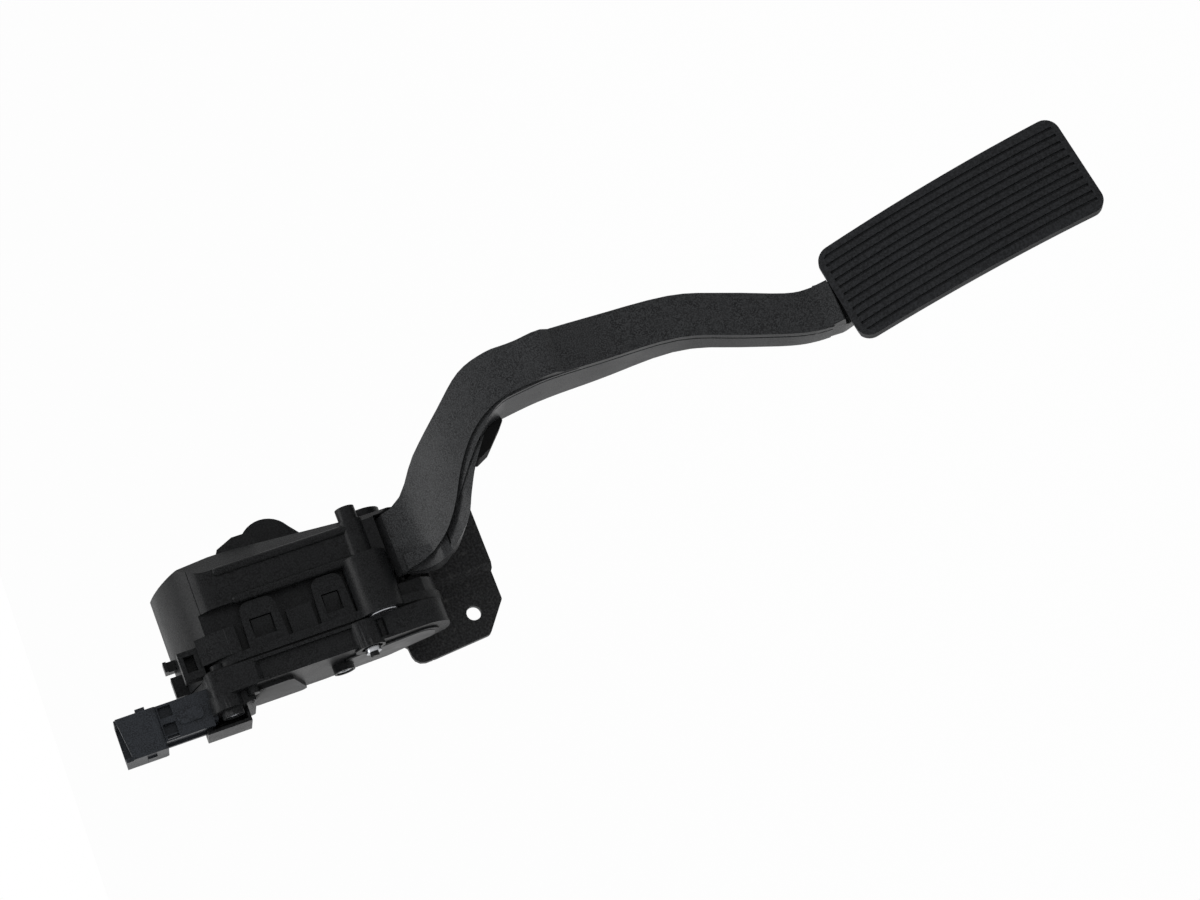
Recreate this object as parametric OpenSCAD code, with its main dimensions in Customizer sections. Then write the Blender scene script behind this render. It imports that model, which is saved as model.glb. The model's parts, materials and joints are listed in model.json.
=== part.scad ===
// Electronic accelerator pedal: a hanging pedal arm on a sensor housing and a pressed bracket.
// X runs to the driver's right, Y forward to the bulkhead, Z up. Millimetres.
// The origin is the centre of the lower bolt hole, on the face that lies on the bulkhead.

/* [Bracket plate] */
// Thickness of the pressed plate
plate_t = 3; // [2:0.5:4]
// Distance that the middle of the plate stands off the bulkhead
plate_raise = 4; // [3.5:0.5:6]
// Diameter of the lower bolt hole
bolt_hole_d = 6.6; // [6:0.2:9]
// Distance from the bolt hole to the plate's lower edge
plate_below = 14.7; // [13:0.1:20]
// Distance from the bolt hole to the tip of the plate's left lobe
plate_lobe = 13.6; // [11:0.2:18]

/* [Pivot] */
// Distance of the pivot from the bulkhead
pivot_depth = 25; // [24:0.5:28]
// Height of the pivot above the bolt hole
pivot_up = 36; // [35:0.5:38]
// Place of the hub's middle to the right of the bolt hole
hub_mid = 33; // [33:0.5:34]
// Width of the hub
hub_w = 24; // [20:0.5:24]
// Radius of the hub
hub_r = 13; // [12:0.5:13]
// Diameter of the pivot shaft
shaft_d = 8; // [6:0.5:8]
// Wall of each pivot bush
bush_wall = 2; // [1.5:0.25:2.5]
// Radial running clearance of the shaft
running_gap = 0.05; // [0.02:0.01:0.09]

/* [Housing] */
// Depth of the housing's front face from the bulkhead
housing_depth = 45; // [44:0.5:48]
// Wall of the housing
wall = 2.5; // [2:0.25:3]
// Left side of the housing
housing_left = 8; // [7.5:0.25:8.5]
// Right side of the housing
housing_right = 53; // [51:0.5:54]
// Height of the housing's front face at its top corner
front_top = 111.5; // [108:0.5:114]
// Rise of the end wall from the front face to the bulkhead
end_rise = 19.5; // [18:0.5:21]
// Radius of the housing's rounded lower end
end_r = 20; // [20:0.5:21]
// Depth that the latch zone lies behind the front face
latch_recess = 4.5; // [3.5:0.5:5.5]
// Right edge of the latch zone
latch_zone_right = 29; // [28.5:0.5:30]
// Radius of the large part of the bolt boss
boss_r = 10; // [8:0.5:10.5]
// Radius of the small part of the bolt boss
boss_small_r = 5.5; // [5:0.5:6]
// Radius of the mounting ear
ear_r = 12.5; // [11:0.5:13]

/* [Sensor cover] */
// Thickness of the latch plate between housing and cover
latch_plate_t = 3.6; // [3:0.2:4]
// Width of the seam that the gasket fills
seam = 0.8; // [0.6:0.1:1]
// Depth of the sensor cover along X
cover_w = 10.6; // [9.5:0.2:12]
// Wall of the sensor cover
cover_wall = 2; // [1.5:0.25:2.5]
// Thickness of the circuit board
board_t = 1.6; // [1:0.2:2]

/* [Connector] */
// Width of the connector hood along X
hood_w = 18.4; // [18:0.2:21]
// Depth of the connector hood along Y
hood_depth = 16; // [15:0.5:18]
// Length of the connector hood
hood_len = 17.7; // [14:0.1:20]
// Length of the neck between hood and cover
neck_len = 23; // [20:0.5:26]
// Wall of the hood
hood_wall = 1.8; // [1.4:0.2:2.2]
// Side of each contact pin
pin_side = 1.2; // [0.8:0.1:1.5]

/* [Pedal arm] */
// Distance of the arm's straight part from the bulkhead
arm_reach = 99; // [96:0.5:104]
// Thickness of the arm at its ridge
mid_t = 28; // [24:0.5:30]
// Thickness of the arm above the pad
low_t = 14.5; // [12:0.5:17]
// Height of the ridge across the arm
ridge_h = 3; // [1.5:0.5:4]
// Width of the arm's straight part
arm_w = 20; // [18:0.5:22]

/* [Pad] */
// Length of the pad
pad_len = 118.4; // [110:0.2:125]
// Width of the pad's upper end
pad_w_top = 43.6; // [40:0.2:46]
// Width of the pad's lower end
pad_w_low = 47.4; // [42:0.2:50]
// Thickness of the pad
pad_t = 6; // [5:0.5:8]
// Radius of the pad's curve along its length
pad_curve = 300; // [220:10:600]
// Radius of the pad's corners
pad_corner = 6.5; // [4:0.5:9]
// Number of grooves in the pad
grooves = 11; // [7:1:11]
// Width of each groove
groove_w = 1.2; // [0.8:0.1:1.6]
// Depth of each groove
groove_d = 1; // [0.5:0.1:2]
// Slope of the pad towards the driver
pad_slope = 18; // [14:1:22]
// Turn of the pad about its own face
pad_turn = 7; // [4:0.5:10]
// Thickness of the carrier plate behind the pad
carrier_t = 3.5; // [3:0.25:5]

/* [Springs] */
// Mean diameter of the outer return spring
outer_coil_d = 19; // [17:0.5:20]
// Mean diameter of the inner return spring
inner_coil_d = 12; // [10:0.5:13]
// Wire diameter of the outer return spring
outer_wire = 1.8; // [1.6:0.1:2]
// Wire diameter of the inner return spring
inner_wire = 1.4; // [1.2:0.1:1.6]
// Height of the springs above the pivot
spring_up = 30; // [29:0.5:32]

/* [Hidden] */

$fn = 64;
// A cut reaches this far past the face that it opens.
past = 1;
// Play between parts that are only slipped together.
slip = 0.3;
// Play of parts that are pressed together.
press_gap = 0.02;

plate_front = -(plate_raise + plate_t);
pivot_y = -pivot_depth;
pivot_z = pivot_up;
front_y = -housing_depth;
latch_y = front_y + latch_recess;
back_top = front_top + end_rise;
hub_left = hub_mid - hub_w / 2;
hub_right = hub_mid + hub_w / 2;
shaft_r = shaft_d / 2;
bush_r = shaft_r + bush_wall;
hub_play = 0.5;

latch_left = housing_left - latch_plate_t;
cover_rim = latch_left - seam;
cover_left = cover_rim - cover_w;

// The bolt boss stands at the front wall, above the mouth.
boss_y = front_y + 3;
boss_z = pivot_z + 7.7;
boss_step_x = 30;
boss_tip_x = housing_right - 6.5;
bolt_r = 2.5;

// The ear on the right takes a bolt that comes through the bulkhead.
ear_x = housing_right + 3.4;
ear_z = pivot_z + 39.5;
ear_depth = 13;
insert_r = 5;
insert_len = 9;

tail_front = pivot_y + 8.5;
tail_t = 5.5;
tail_w = 14;
tail_top = pivot_z + 54;
spring_z = pivot_z + spring_up;
spring_front = latch_y + wall + 1.5;
spring_back = tail_front - 1;

// Points of a polygon whose corners [x, y, radius] are rounded by arcs.
function corner(a, b, c, r, steps = 6) =
    let (
        u = (a - b) / norm(a - b),
        v = (c - b) / norm(c - b),
        half = acos(u * v) / 2,
        back = r / tan(half),
        centre = b + (u + v) / norm(u + v) * r / sin(half),
        from = b + u * back - centre,
        to = b + v * back - centre,
        a0 = atan2(from[1], from[0]),
        turn = atan2(from[0] * to[1] - from[1] * to[0], from * to)
    )
    r <= 0 ? [b] : [for (i = [0:steps]) centre + r * [cos(a0 + turn * i / steps), sin(a0 + turn * i / steps)]];

function rounded(p) =
    let (n = len(p))
    [for (i = [0:n - 1])
        let (
            a = p[(i + n - 1) % n],
            b = p[i],
            c = p[(i + 1) % n]
        )
        each corner([a[0], a[1]], [b[0], b[1]], [c[0], c[1]], b[2])];

// A smooth curve through a row of points.
function curve(p, steps = 4) =
    let (n = len(p) - 1)
    concat(
        [for (i = [0:n - 1])
            let (
                a = p[max(i - 1, 0)],
                b = p[i],
                c = p[i + 1],
                d = p[min(i + 2, n)]
            )
            for (k = [0:steps - 1])
                let (t = k / steps)
                0.5 * (2 * b + (c - a) * t + (2 * a - 5 * b + 4 * c - d) * t * t
                    + (3 * b - a - 3 * c + d) * t * t * t)],
        [p[n]]
    );

// Turns a drawing of Y and Z into a solid from x0 to x1.
module along_x(x0, x1) {
    translate([x0, 0, 0])
        rotate([90, 0, 90])
            linear_extrude(x1 - x0)
                children();
}

// Turns a drawing of X and Z into a solid from y0 forward to y1.
module along_y(y0, y1) {
    translate([0, y1, 0])
        rotate([90, 0, 0])
            linear_extrude(y1 - y0)
                children();
}

// A rod along X.
module rod_x(r, x0, x1, y, z) {
    translate([x0, y, z])
        rotate([0, 90, 0])
            cylinder(r = r, h = x1 - x0);
}

// A rod along Y.
module rod_y(r, y0, y1, x, z) {
    translate([x, y1, z])
        rotate([90, 0, 0])
            cylinder(r = r, h = y1 - y0);
}

// A box between two corners.
module block(lo, hi) {
    translate(lo)
        cube(hi - lo);
}

// Bracket plate

plate_right = housing_right - 2;
plate_top = back_top - 6;

// Left of this line the plate lies on the bulkhead.
lobe_right = 15.5;

module plate_outline() {
    notch = 0.6;
    polygon(rounded([
        [2, -plate_below + notch, 2],
        [lobe_right, -plate_below + notch, 0.5],
        [lobe_right + 1, -plate_below, 0.5],
        [plate_right, -plate_below, 4],
        [plate_right, plate_top, 4],
        [housing_left - 3, plate_top, 4],
        [housing_left - 3, pivot_z + 6, 3],
        [-plate_lobe + 6, 30.5, 3],
        [-plate_lobe, 24.5, 4],
        [-plate_lobe + 2.2, -3.6, 3]
    ]));
}

// The section from left to right: the plate lies on the bulkhead up to x and stands off it beyond.
module plate_section(x) {
    polygon([
        [-plate_lobe - past, 0], [-plate_lobe - past, -plate_t], [x, -plate_t],
        [x + plate_raise - 1, plate_front], [plate_right + past, plate_front],
        [plate_right + past, -plate_raise], [x + plate_raise, -plate_raise],
        [x + 1, 0]
    ]);
}

// The step is further left behind the housing, to give it a flat seat.
seat_left = 2;
seat_low = 13;

bracket_screw_x = [housing_left + 6, housing_right - wall - 4.5];
bracket_screw_z = [pivot_z + 20, front_top + 3];
bracket_screw_r = 2;
idle_stop_z = pivot_z + 44;

module mounting_bracket() {
    color("#1b1b1d")
        difference() {
            intersection() {
                along_y(plate_front - past, past)
                    plate_outline();
                union() {
                    translate([0, 0, -plate_below - past])
                        linear_extrude(seat_low + plate_below + past)
                            plate_section(lobe_right);
                    translate([0, 0, seat_low])
                        linear_extrude(plate_top - seat_low + past)
                            plate_section(seat_left);
                    block([seat_left + 1, plate_front, seat_low], [lobe_right + plate_raise, 0, seat_low + plate_t]);
                }
            }
            rod_y(bolt_hole_d / 2, -plate_t - past, past, 0, 0);
            for (x = bracket_screw_x, z = bracket_screw_z)
                rod_y(bracket_screw_r + slip, plate_front - past, past, x, z);
        }
}

// Housing

// The curved end wall as [y, z], from the bulkhead to the top corner of the front face.
function end_wall(inset) = curve([
    [plate_front, back_top - inset],
    [plate_front - 9, back_top - 1.9 - inset],
    [plate_front - 20, back_top - 5.7 - inset],
    [front_y + 8, front_top + 8.3 - inset],
    [front_y + inset, front_top - inset * 0.6]
], 3);

// The rounded lower end about the pivot, as [y, z].
function lower_end(r) = [for (a = [180:10:270]) [pivot_y + r * cos(a), pivot_z + r * sin(a)]];

module housing_profile(inset = 0) {
    back = inset > 0 ? plate_front + past : plate_front;
    polygon(concat(
        [[back, back_top - inset]],
        end_wall(inset),
        lower_end(end_r - inset),
        [[back, pivot_z - end_r + inset]]
    ));
}

mouth_z = boss_z - boss_r;
edge_chamfer = 8;
// The right wall leans in by this much at the mouth.
lean = 5.5;

// The housing from the driver's side, as [x, y]: a raised front face, the latch zone on its left and
// a slope on its right.
module housing_plan(inset = 0) {
    back = inset > 0 ? past : 0;
    polygon([
        [housing_left + inset, back],
        [housing_left + inset, latch_y + inset],
        [latch_zone_right + inset, latch_y + inset],
        [latch_zone_right + inset, front_y + inset],
        [housing_right - edge_chamfer - inset / 2, front_y + inset],
        [housing_right - inset, front_y + edge_chamfer + inset / 2],
        [housing_right - inset, back]
    ]);
}

// The housing from the driver's side, as [x, z]: the right wall leans in towards the mouth.
module housing_front(inset = 0) {
    polygon([
        [0, 0], [housing_right - lean - inset, 0], [housing_right - lean - inset, pivot_z + 6],
        [housing_right - inset, front_top - 16], [housing_right - inset, front_top - 7],
        [housing_right - 3 - inset, back_top + past], [0, back_top + past]
    ]);
}

module housing_form(inset = 0) {
    intersection() {
        along_x(0, housing_right + past)
            housing_profile(inset);
        linear_extrude(back_top + past)
            housing_plan(inset);
        along_y(-housing_depth - past, 2 * past)
            housing_front(inset);
    }
}

module housing_shell() {
    difference() {
        housing_form();
        housing_form(wall);
    }
}

module long_rib(x, z0, z1) {
    r = 2;
    translate([x, front_y + 0.4, z0])
        cylinder(r = r, h = z1 - z0);
    translate([x, front_y + 0.4, z0])
        sphere(r = r);
    translate([x, front_y + 0.4, z1])
        sphere(r = r);
}

module ear_outline() {
    polygon(concat(
        [for (a = [-60:10:90])
            [ear_x + ear_r * cos(a), ear_z + ear_r * sin(a)]],
        [[housing_right - wall, ear_z + ear_r], [housing_right - wall, ear_z - ear_r - 8]]
    ));
}

module mounting_ear() {
    lip = 2;
    along_y(-ear_depth + lip, 0)
        ear_outline();
    intersection() {
        along_y(-ear_depth, 0)
            ear_outline();
        rod_y(ear_r - lip, -ear_depth, 0, ear_x, ear_z);
    }
    along_y(-ear_depth - 6, -ear_depth + lip)
        polygon([[housing_right - wall, ear_z - 3], [housing_right + 4, ear_z - 1.5],
            [housing_right + 4, ear_z + 1.5], [housing_right - wall, ear_z + 3]]);
}

nose_x = [12.5, 19.6];
latch_z = [
    [front_top - 27.5, front_top - 10.5],
    [pivot_z + 18.5, pivot_z + 33.5]
];

// The wedge that a latch loop snaps over.
module latch_nose(z0, z1) {
    translate([0, 0, z0])
        linear_extrude(z1 - z0)
            polygon([[nose_x[0], latch_y + 0.5], [nose_x[1] - 1.2, latch_y - 2.6],
                [nose_x[1], latch_y - 2.6], [nose_x[1], latch_y + 0.5]]);
}

module bush_boss(x0, x1) {
    rod_x(bush_r + 3, x0, x1, pivot_y, pivot_z);
}

module housing() {
    color("#1c1e1e")
        difference() {
            union() {
                housing_shell();
                long_rib(housing_right - 9.5, mouth_z + 10, front_top - 8);
                long_rib(latch_zone_right + 1, mouth_z + 12, front_top - 12);
                // The stepped boss at the front wall.
                difference() {
                    union() {
                        rod_x(boss_r, housing_left, boss_step_x, boss_y, boss_z);
                        rod_x(boss_small_r, boss_step_x, boss_tip_x, boss_y, boss_z);
                    }
                    block([housing_left + wall, latch_y + wall, 0], [housing_right - wall, 0, back_top]);
                }
                rod_x(bolt_r + 1.8, housing_left, housing_right, boss_y, boss_z);
                bush_boss(housing_left, hub_left - hub_play);
                bush_boss(hub_right + hub_play, housing_right);
                for (x = bracket_screw_x, z = bracket_screw_z)
                    rod_y(bracket_screw_r + 2, plate_front - 14, plate_front, x, z);
                for (span = latch_z)
                    latch_nose(span[0] + 4.5, span[1] - 4);
                mounting_ear();
                // The lug beside the ear.
                along_y(-36, plate_front)
                    polygon([[housing_right - wall, 102], [housing_right + 2, 99.5], [housing_right + 5.2, 92],
                        [housing_right + 5.2, 85], [housing_right - wall, 81]]);
                // The hook at the back of the end wall.
                block([17, -12, back_top - 2], [21.5, plate_front, back_top + 4]);
                block([17, -14, back_top + 2.5], [21.5, plate_front, back_top + 4]);
            }
            // The mouth that the arm comes out of.
            block([housing_left + wall + 4, -housing_depth - boss_r, -past],
                [hub_right + hub_play, pivot_y - hub_r + 4, mouth_z]);
            block([hub_left - hub_play, -housing_depth, -past],
                [hub_right + hub_play, plate_front + past, pivot_z - end_r + wall + 3]);
            rod_x(bush_r + press_gap, housing_left - past, housing_right - wall, pivot_y, pivot_z);
            rod_x(bolt_r + slip, 0, boss_tip_x - 8, boss_y, boss_z);
            rod_y(insert_r + press_gap, -insert_len, past, ear_x, ear_z);
            for (x = bracket_screw_x, z = bracket_screw_z)
                rod_y(bracket_screw_r + press_gap, plate_front - 12, 0, x, z);
            // Nothing lies behind the bulkhead's face or in the plate's place.
            block([0, 0, 0], [housing_right + 20, 2 * past, back_top + 10]);
            block([0, plate_front, 0], [plate_right + slip, 2 * past, back_top + 10]);
        }
}

module ear_insert() {
    color("#b08d4a")
        difference() {
            rod_y(insert_r, -insert_len, 0, ear_x, ear_z);
            rod_y(3.4, -insert_len + 1, past, ear_x, ear_z);
        }
}

// Latch plate

// Outline of the latch plate as [y, z]: the housing's own side with a rounder lower end.
function side_outline(inset = 0) = concat(
    [[plate_front - 0.5 - inset, pivot_z - 10]],
    [[plate_front - 0.5 - inset, back_top - 1 - inset]],
    [for (p = end_wall(1 + inset)) if (p[0] < plate_front - 2 - inset) p],
    [[front_y + inset, front_top - 5.5]],
    lower_end(end_r + 1 - inset),
    [for (a = [280:10:320]) [pivot_y + (end_r + 1 - inset) * cos(a), pivot_z + (end_r + 1 - inset) * sin(a)]]
);

seal_r = shaft_r + 4;

module latch_loop(z0, z1) {
    top_x = latch_zone_right - 1.5;
    z_side = 4;
    x_top = 20;
    difference() {
        along_y(latch_y - 3.4, latch_y - 0.4)
            polygon(rounded([
                [housing_left, z0, 0], [top_x, z0 + 1, 4], [top_x, z1 - 1, 4], [housing_left, z1, 0]
            ]));
        block([nose_x[0] - 1, latch_y - 4, z0 + z_side], [x_top, latch_y, z1 - z_side + 0.5]);
    }
}

module latch_plate() {
    color("#202222")
        difference() {
            union() {
                along_x(latch_left, housing_left)
                    polygon(side_outline());
                // The flange round the bolt boss.
                rod_x(boss_r, latch_left, housing_left, boss_y, boss_z);
                for (span = latch_z)
                    latch_loop(span[0], span[1]);
                // The flat panel between the loops.
                block([housing_left, latch_y - 2.6, pivot_z + 35], [19, latch_y - 0.4, pivot_z + 46]);
                // The post at the upper front corner.
                along_x(housing_left, 19.5)
                    polygon(rounded([
                        [front_y, front_top - 7.5, 1], [latch_y - 0.4, front_top - 7.5, 0],
                        [latch_y - 0.4, front_top + 5.5, 0], [front_y + 6, front_top + 10.5, 2],
                        [front_y, front_top + 10.3, 3]
                    ]));
                // The foot behind it.
                block([latch_left, -16, back_top - 4], [13.5, plate_front - 1.5, back_top + 3]);
                // The loop on the end wall.
                difference() {
                    block([latch_left, front_y + 5, front_top + 9.5], [16.8, front_y + 12, front_top + 18.5]);
                    block([7.5, front_y + 4, front_top + 12], [14.5, front_y + 10.5, front_top + 16.5]);
                }
            }
            rod_x(seal_r + press_gap, latch_left - past, housing_left + past, pivot_y, pivot_z);
            rod_x(bolt_r + slip, latch_left - past, housing_left + past, boss_y, boss_z);
            for (at = cover_screw_at)
                rod_x(screw_r + press_gap, latch_left - past, housing_left - 1, at[0], at[1]);
            // The foot and the end loop lie on the housing's end wall.
            housing_form();
        }
}

module shaft_seal() {
    color("#151515")
        difference() {
            rod_x(seal_r, latch_left + 0.4, housing_left, pivot_y, pivot_z);
            rod_x(shaft_r + running_gap, latch_left, housing_left + past, pivot_y, pivot_z);
        }
}

module through_bolt() {
    color("#b9bcc0")
        rod_x(bolt_r, latch_left - seam, boss_tip_x - 9, boss_y, boss_z);
}

washer_r = 6.6;

module bolt_washer() {
    color("#c6c9cc")
        difference() {
            rod_x(washer_r, latch_left - seam, latch_left, boss_y - 1.6, boss_z);
            rod_x(bolt_r + slip, latch_left - seam - past, latch_left + past, boss_y, boss_z);
        }
}

// Sensor cover

// Outline of the sensor cover as [y, z].
function cover_outline(inset = 0) = rounded([
    [plate_front - 1 - inset, back_top - 0.5 - inset, 1],
    [front_y + 14, front_top + 12 - inset, 8],
    [front_y + inset, front_top + 11 - inset, 4],
    [front_y + inset, pivot_z - 19 + inset, 12 - inset],
    [front_y + 21 - inset, pivot_z - 19 + inset, 8],
    [front_y + 33 - inset, pivot_z + 8, 12],
    [plate_front - 1 - inset, pivot_z + 36, 10]
]);

module cover_gasket() {
    rim = 1;
    width = 1.6;
    color("#0d0d0e")
        along_x(cover_rim, latch_left)
            difference() {
                polygon(cover_outline(rim));
                polygon(cover_outline(rim + width));
                translate([boss_y - 1.6, boss_z])
                    circle(r = washer_r + slip);
                for (at = cover_screw_at)
                    translate([at[0], at[1]])
                        circle(r = screw_r + slip);
            }
}

// Places [y, z] of the screws that hold the cover, and how far each pillar stands out.
cover_screw_at = [
    [front_y + 6, front_top + 4.5],
    [front_y + 3.5, pivot_z + 17],
    [plate_front - 19, pivot_z + 29.2]
];
pillar_r = 4.6;
pillar_out = 1;
screw_r = 1.6;
block_left = cover_left - 5;
block_z = front_top - 6.5;

// Where a screw's head sits, along X.
function screw_seat(at) = (at[1] > block_z ? block_left : cover_left) - pillar_out;

module sensor_cover() {
    color("#191a1b")
        difference() {
            union() {
                along_x(cover_left, cover_rim)
                    polygon(cover_outline());
                // The upper block that carries the connector.
                along_x(block_left, cover_left)
                    polygon(rounded([
                        [front_y + 5, block_z, 2], [plate_front - 3, block_z, 2],
                        [plate_front - 3, front_top + 10.5, 2], [front_y + 5, front_top + 10.5, 3]
                    ]));
                for (at = cover_screw_at)
                    rod_x(pillar_r, screw_seat(at), cover_rim, at[0], at[1]);
                // The flat field on the left face.
                along_x(cover_left - 0.8, cover_left)
                    polygon(rounded([
                        [front_y + 3, pivot_z - 14, 9], [front_y + 20, pivot_z - 14, 6],
                        [front_y + 30, pivot_z + 8, 8], [front_y + 32, pivot_z + 28, 2], [front_y + 10, pivot_z + 28, 2]
                    ]));
                // The step above it.
                along_x(cover_left - 1.8, cover_left)
                    polygon(rounded([
                        [front_y + 6, block_z - 17, 3], [plate_front - 3, block_z - 25, 3],
                        [plate_front - 3, block_z - 1, 2], [front_y + 6, block_z - 1, 3]
                    ]));
                harness_pocket();
            }
            // The chamber for the board and the rotor.
            along_x(cover_left + cover_wall, cover_rim + past)
                difference() {
                    polygon(cover_outline(cover_wall + 0.8));
                    for (at = cover_screw_at)
                        translate([at[0], at[1]])
                            circle(r = pillar_r);
                }
            for (at = cover_screw_at)
                rod_x(screw_r + slip, block_left - 2 * past, cover_rim + past, at[0], at[1]);
            harness_pocket_hollow();
            // The seat of the connector's neck.
            block([conn_right - neck_w - rail_w, conn_y - neck_depth / 2, neck_low],
                [conn_right, conn_y + neck_depth / 2, back_top + past]);
        }
}

// A bare label on the cover's left face.
module blank_label() {
    color("#c9c9c6")
        difference() {
            along_x(cover_left - 1, cover_left - 0.8)
                polygon(rounded([
                    [front_y + 4.5, pivot_z - 12, 8], [front_y + 19, pivot_z - 12, 5], [front_y + 28, pivot_z + 8, 7],
                    [front_y + 30, pivot_z + 26.5, 1], [front_y + 11, pivot_z + 26.5, 1]
                ]));
            for (at = cover_screw_at)
                rod_x(pillar_r + slip, cover_left - 2, cover_left, at[0], at[1]);
        }
}

pocket_lo = [block_left - 6.6, front_y + 11, front_top - 2.5];
pocket_hi = [block_left, front_y + 28, front_top + 16.5];
pocket_wall = 1.4;

module harness_pocket() {
    block(pocket_lo, pocket_hi);
}

module harness_pocket_hollow() {
    block([pocket_lo[0] + pocket_wall, pocket_lo[1] - past, pocket_lo[2] + pocket_wall],
        [pocket_hi[0] - pocket_wall / 2, pocket_hi[1] - pocket_wall, pocket_hi[2] - pocket_wall]);
}

module cover_screws() {
    head_r = 3.4;
    color("#8d9196")
        for (at = cover_screw_at) {
            x = screw_seat(at);
            difference() {
                rod_x(head_r, x - 2.2, x, at[0], at[1]);
                translate([x - 2.2 - past, at[0], at[1]])
                    rotate([0, 90, 0])
                        cylinder(r = 1.6, h = 1.2 + past, $fn = 6);
            }
            rod_x(screw_r, x, housing_left - 1, at[0], at[1]);
        }
}

board_x = cover_left + cover_wall + 2;

module circuit_board() {
    color("#1e4a2c")
        difference() {
            along_x(board_x, board_x + board_t)
                polygon(rounded([
                    [front_y + 7, pivot_z - 12, 4], [front_y + 18, pivot_z - 12, 4], [front_y + 28, pivot_z + 8, 6],
                    [front_y + 28, block_z - 11, 2], [front_y + 12, block_z - 11, 2]
                ]));
            for (at = cover_screw_at)
                rod_x(pillar_r + slip, board_x - past, board_x + board_t + past, at[0], at[1]);
        }
    // The posts that the board stands on.
    color("#1e4a2c")
        for (at = [[pivot_y - 5, pivot_z + 38], [pivot_y - 2, block_z - 17]])
            rod_x(1.6, cover_left + cover_wall, board_x, at[0], at[1]);
}

module sensor_chip() {
    color("#101010")
        block([board_x + board_t, pivot_y - 3.5, pivot_z - 3.5], [board_x + board_t + 1.2, pivot_y + 3.5, pivot_z + 3.5]);
}

// Connector

conn_y = front_y + 15;
conn_right = -0.5;
neck_w = 13.6;
rail_w = 2;
neck_depth = 14;
neck_low = front_top + 10.5;
hood_low = neck_low + neck_len;
hood_top = hood_low + hood_len;

module connector_shell() {
    lip = 2;
    color("#23262b")
        difference() {
            union() {
                // The neck, with a flange against the cover.
                block([conn_right - neck_w, conn_y - neck_depth / 2, neck_low],
                    [conn_right, conn_y + neck_depth / 2, hood_low]);
                along_x(conn_right - hood_w, conn_right)
                    polygon(rounded([
                        [conn_y - hood_depth / 2, hood_low, 1.5], [conn_y + hood_depth / 2, hood_low, 1.5],
                        [conn_y + hood_depth / 2, hood_top, 0], [conn_y - hood_depth / 2, hood_top, 0]
                    ]));
                // The oval pad on the neck's face.
                along_y(conn_y - neck_depth / 2 - 0.9, conn_y)
                    polygon(rounded([
                        [conn_right - 11, neck_low + 5, 2.4], [conn_right - 5.5, neck_low + 5, 2.4],
                        [conn_right - 5.5, neck_low + 16, 2.4], [conn_right - 11, neck_low + 16, 2.4]
                    ]));
                // The rails along the left side.
                for (y = [conn_y - neck_depth / 2, conn_y + neck_depth / 2 - 2])
                    block([conn_right - neck_w - rail_w, y, neck_low + 2], [conn_right - neck_w, y + 2, hood_low]);
                // The coding tabs at the sides of the hood.
                block([conn_right, conn_y - 3, hood_low + 4], [conn_right + 2.4, conn_y + 3, hood_low + 8]);
                block([conn_right - hood_w - 0.8, conn_y - 3, hood_low + 5], [conn_right - hood_w, conn_y + 3, hood_low + 9]);
            }
            // The socket.
            block([conn_right - hood_w + hood_wall, conn_y - hood_depth / 2 + hood_wall, hood_low + lip],
                [conn_right - hood_wall, conn_y + hood_depth / 2 - hood_wall, hood_top + past]);
            // The two recesses in front of the hood.
            for (x = [conn_right - 4.5, conn_right - 12])
                block([x - 3, conn_y - neck_depth / 2 - past, hood_low - 6], [x, conn_y - neck_depth / 2 + 2.5, hood_low - 1]);
            for (at = contact_at)
                block([at[0] - pin_side / 2 - press_gap, at[1] - pin_side / 2 - press_gap, neck_low - past],
                    [at[0] + pin_side / 2 + press_gap, at[1] + pin_side / 2 + press_gap, hood_low + lip + past]);
        }
}

contact_pitch = 4.2;
contact_at = [for (i = [-1:1], j = [-1, 1])
    [conn_right - hood_w / 2 + i * contact_pitch, conn_y + j * contact_pitch / 2]];

module connector_pins() {
    color("#c9b37a")
        for (at = contact_at)
            block([at[0] - pin_side / 2, at[1] - pin_side / 2, neck_low + 2],
                [at[0] + pin_side / 2, at[1] + pin_side / 2, hood_top - 5]);
}

// Bearings and shaft

module bush(x0, x1) {
    difference() {
        rod_x(bush_r, x0, x1, pivot_y, pivot_z);
        rod_x(shaft_r + running_gap, x0 - past, x1 + past, pivot_y, pivot_z);
    }
}

module bush_left() {
    color("#c8c4b4")
        bush(housing_left, hub_left - hub_play);
}

module bush_right() {
    color("#c8c4b4")
        bush(hub_right + hub_play, housing_right - wall);
}

rotor_t = 2.6;
rotor_r = 4.9;
magnet_r = 3.6;
magnet_t = 1.6;
rotor_x = latch_left - rotor_t;

module pivot_shaft() {
    color("#9a9da0")
        rod_x(shaft_r, latch_left + 0.5, housing_right - wall - slip, pivot_y, pivot_z);
}

module sensor_rotor() {
    color("#2a2c2e") {
        difference() {
            rod_x(rotor_r, rotor_x, latch_left - 0.4, pivot_y, pivot_z);
            rod_x(magnet_r + press_gap, rotor_x - past, rotor_x + magnet_t, pivot_y, pivot_z);
        }
        rod_x(shaft_r - 0.3, latch_left - 0.4, latch_left + 0.5, pivot_y, pivot_z);
    }
}

module rotor_magnet() {
    color("#3c3f42")
        rod_x(magnet_r, rotor_x, rotor_x + magnet_t, pivot_y, pivot_z);
}

// Screws that hold the housing on the plate, with their heads behind the raised middle.
module bracket_screws() {
    color("#8d9196")
        for (x = bracket_screw_x, z = bracket_screw_z) {
            rod_y(bracket_screw_r, plate_front - 11, -plate_raise, x, z);
            rod_y(bracket_screw_r + 1.8, -plate_raise, -plate_raise + 2.2, x, z);
        }
}

// Springs and stops

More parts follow.
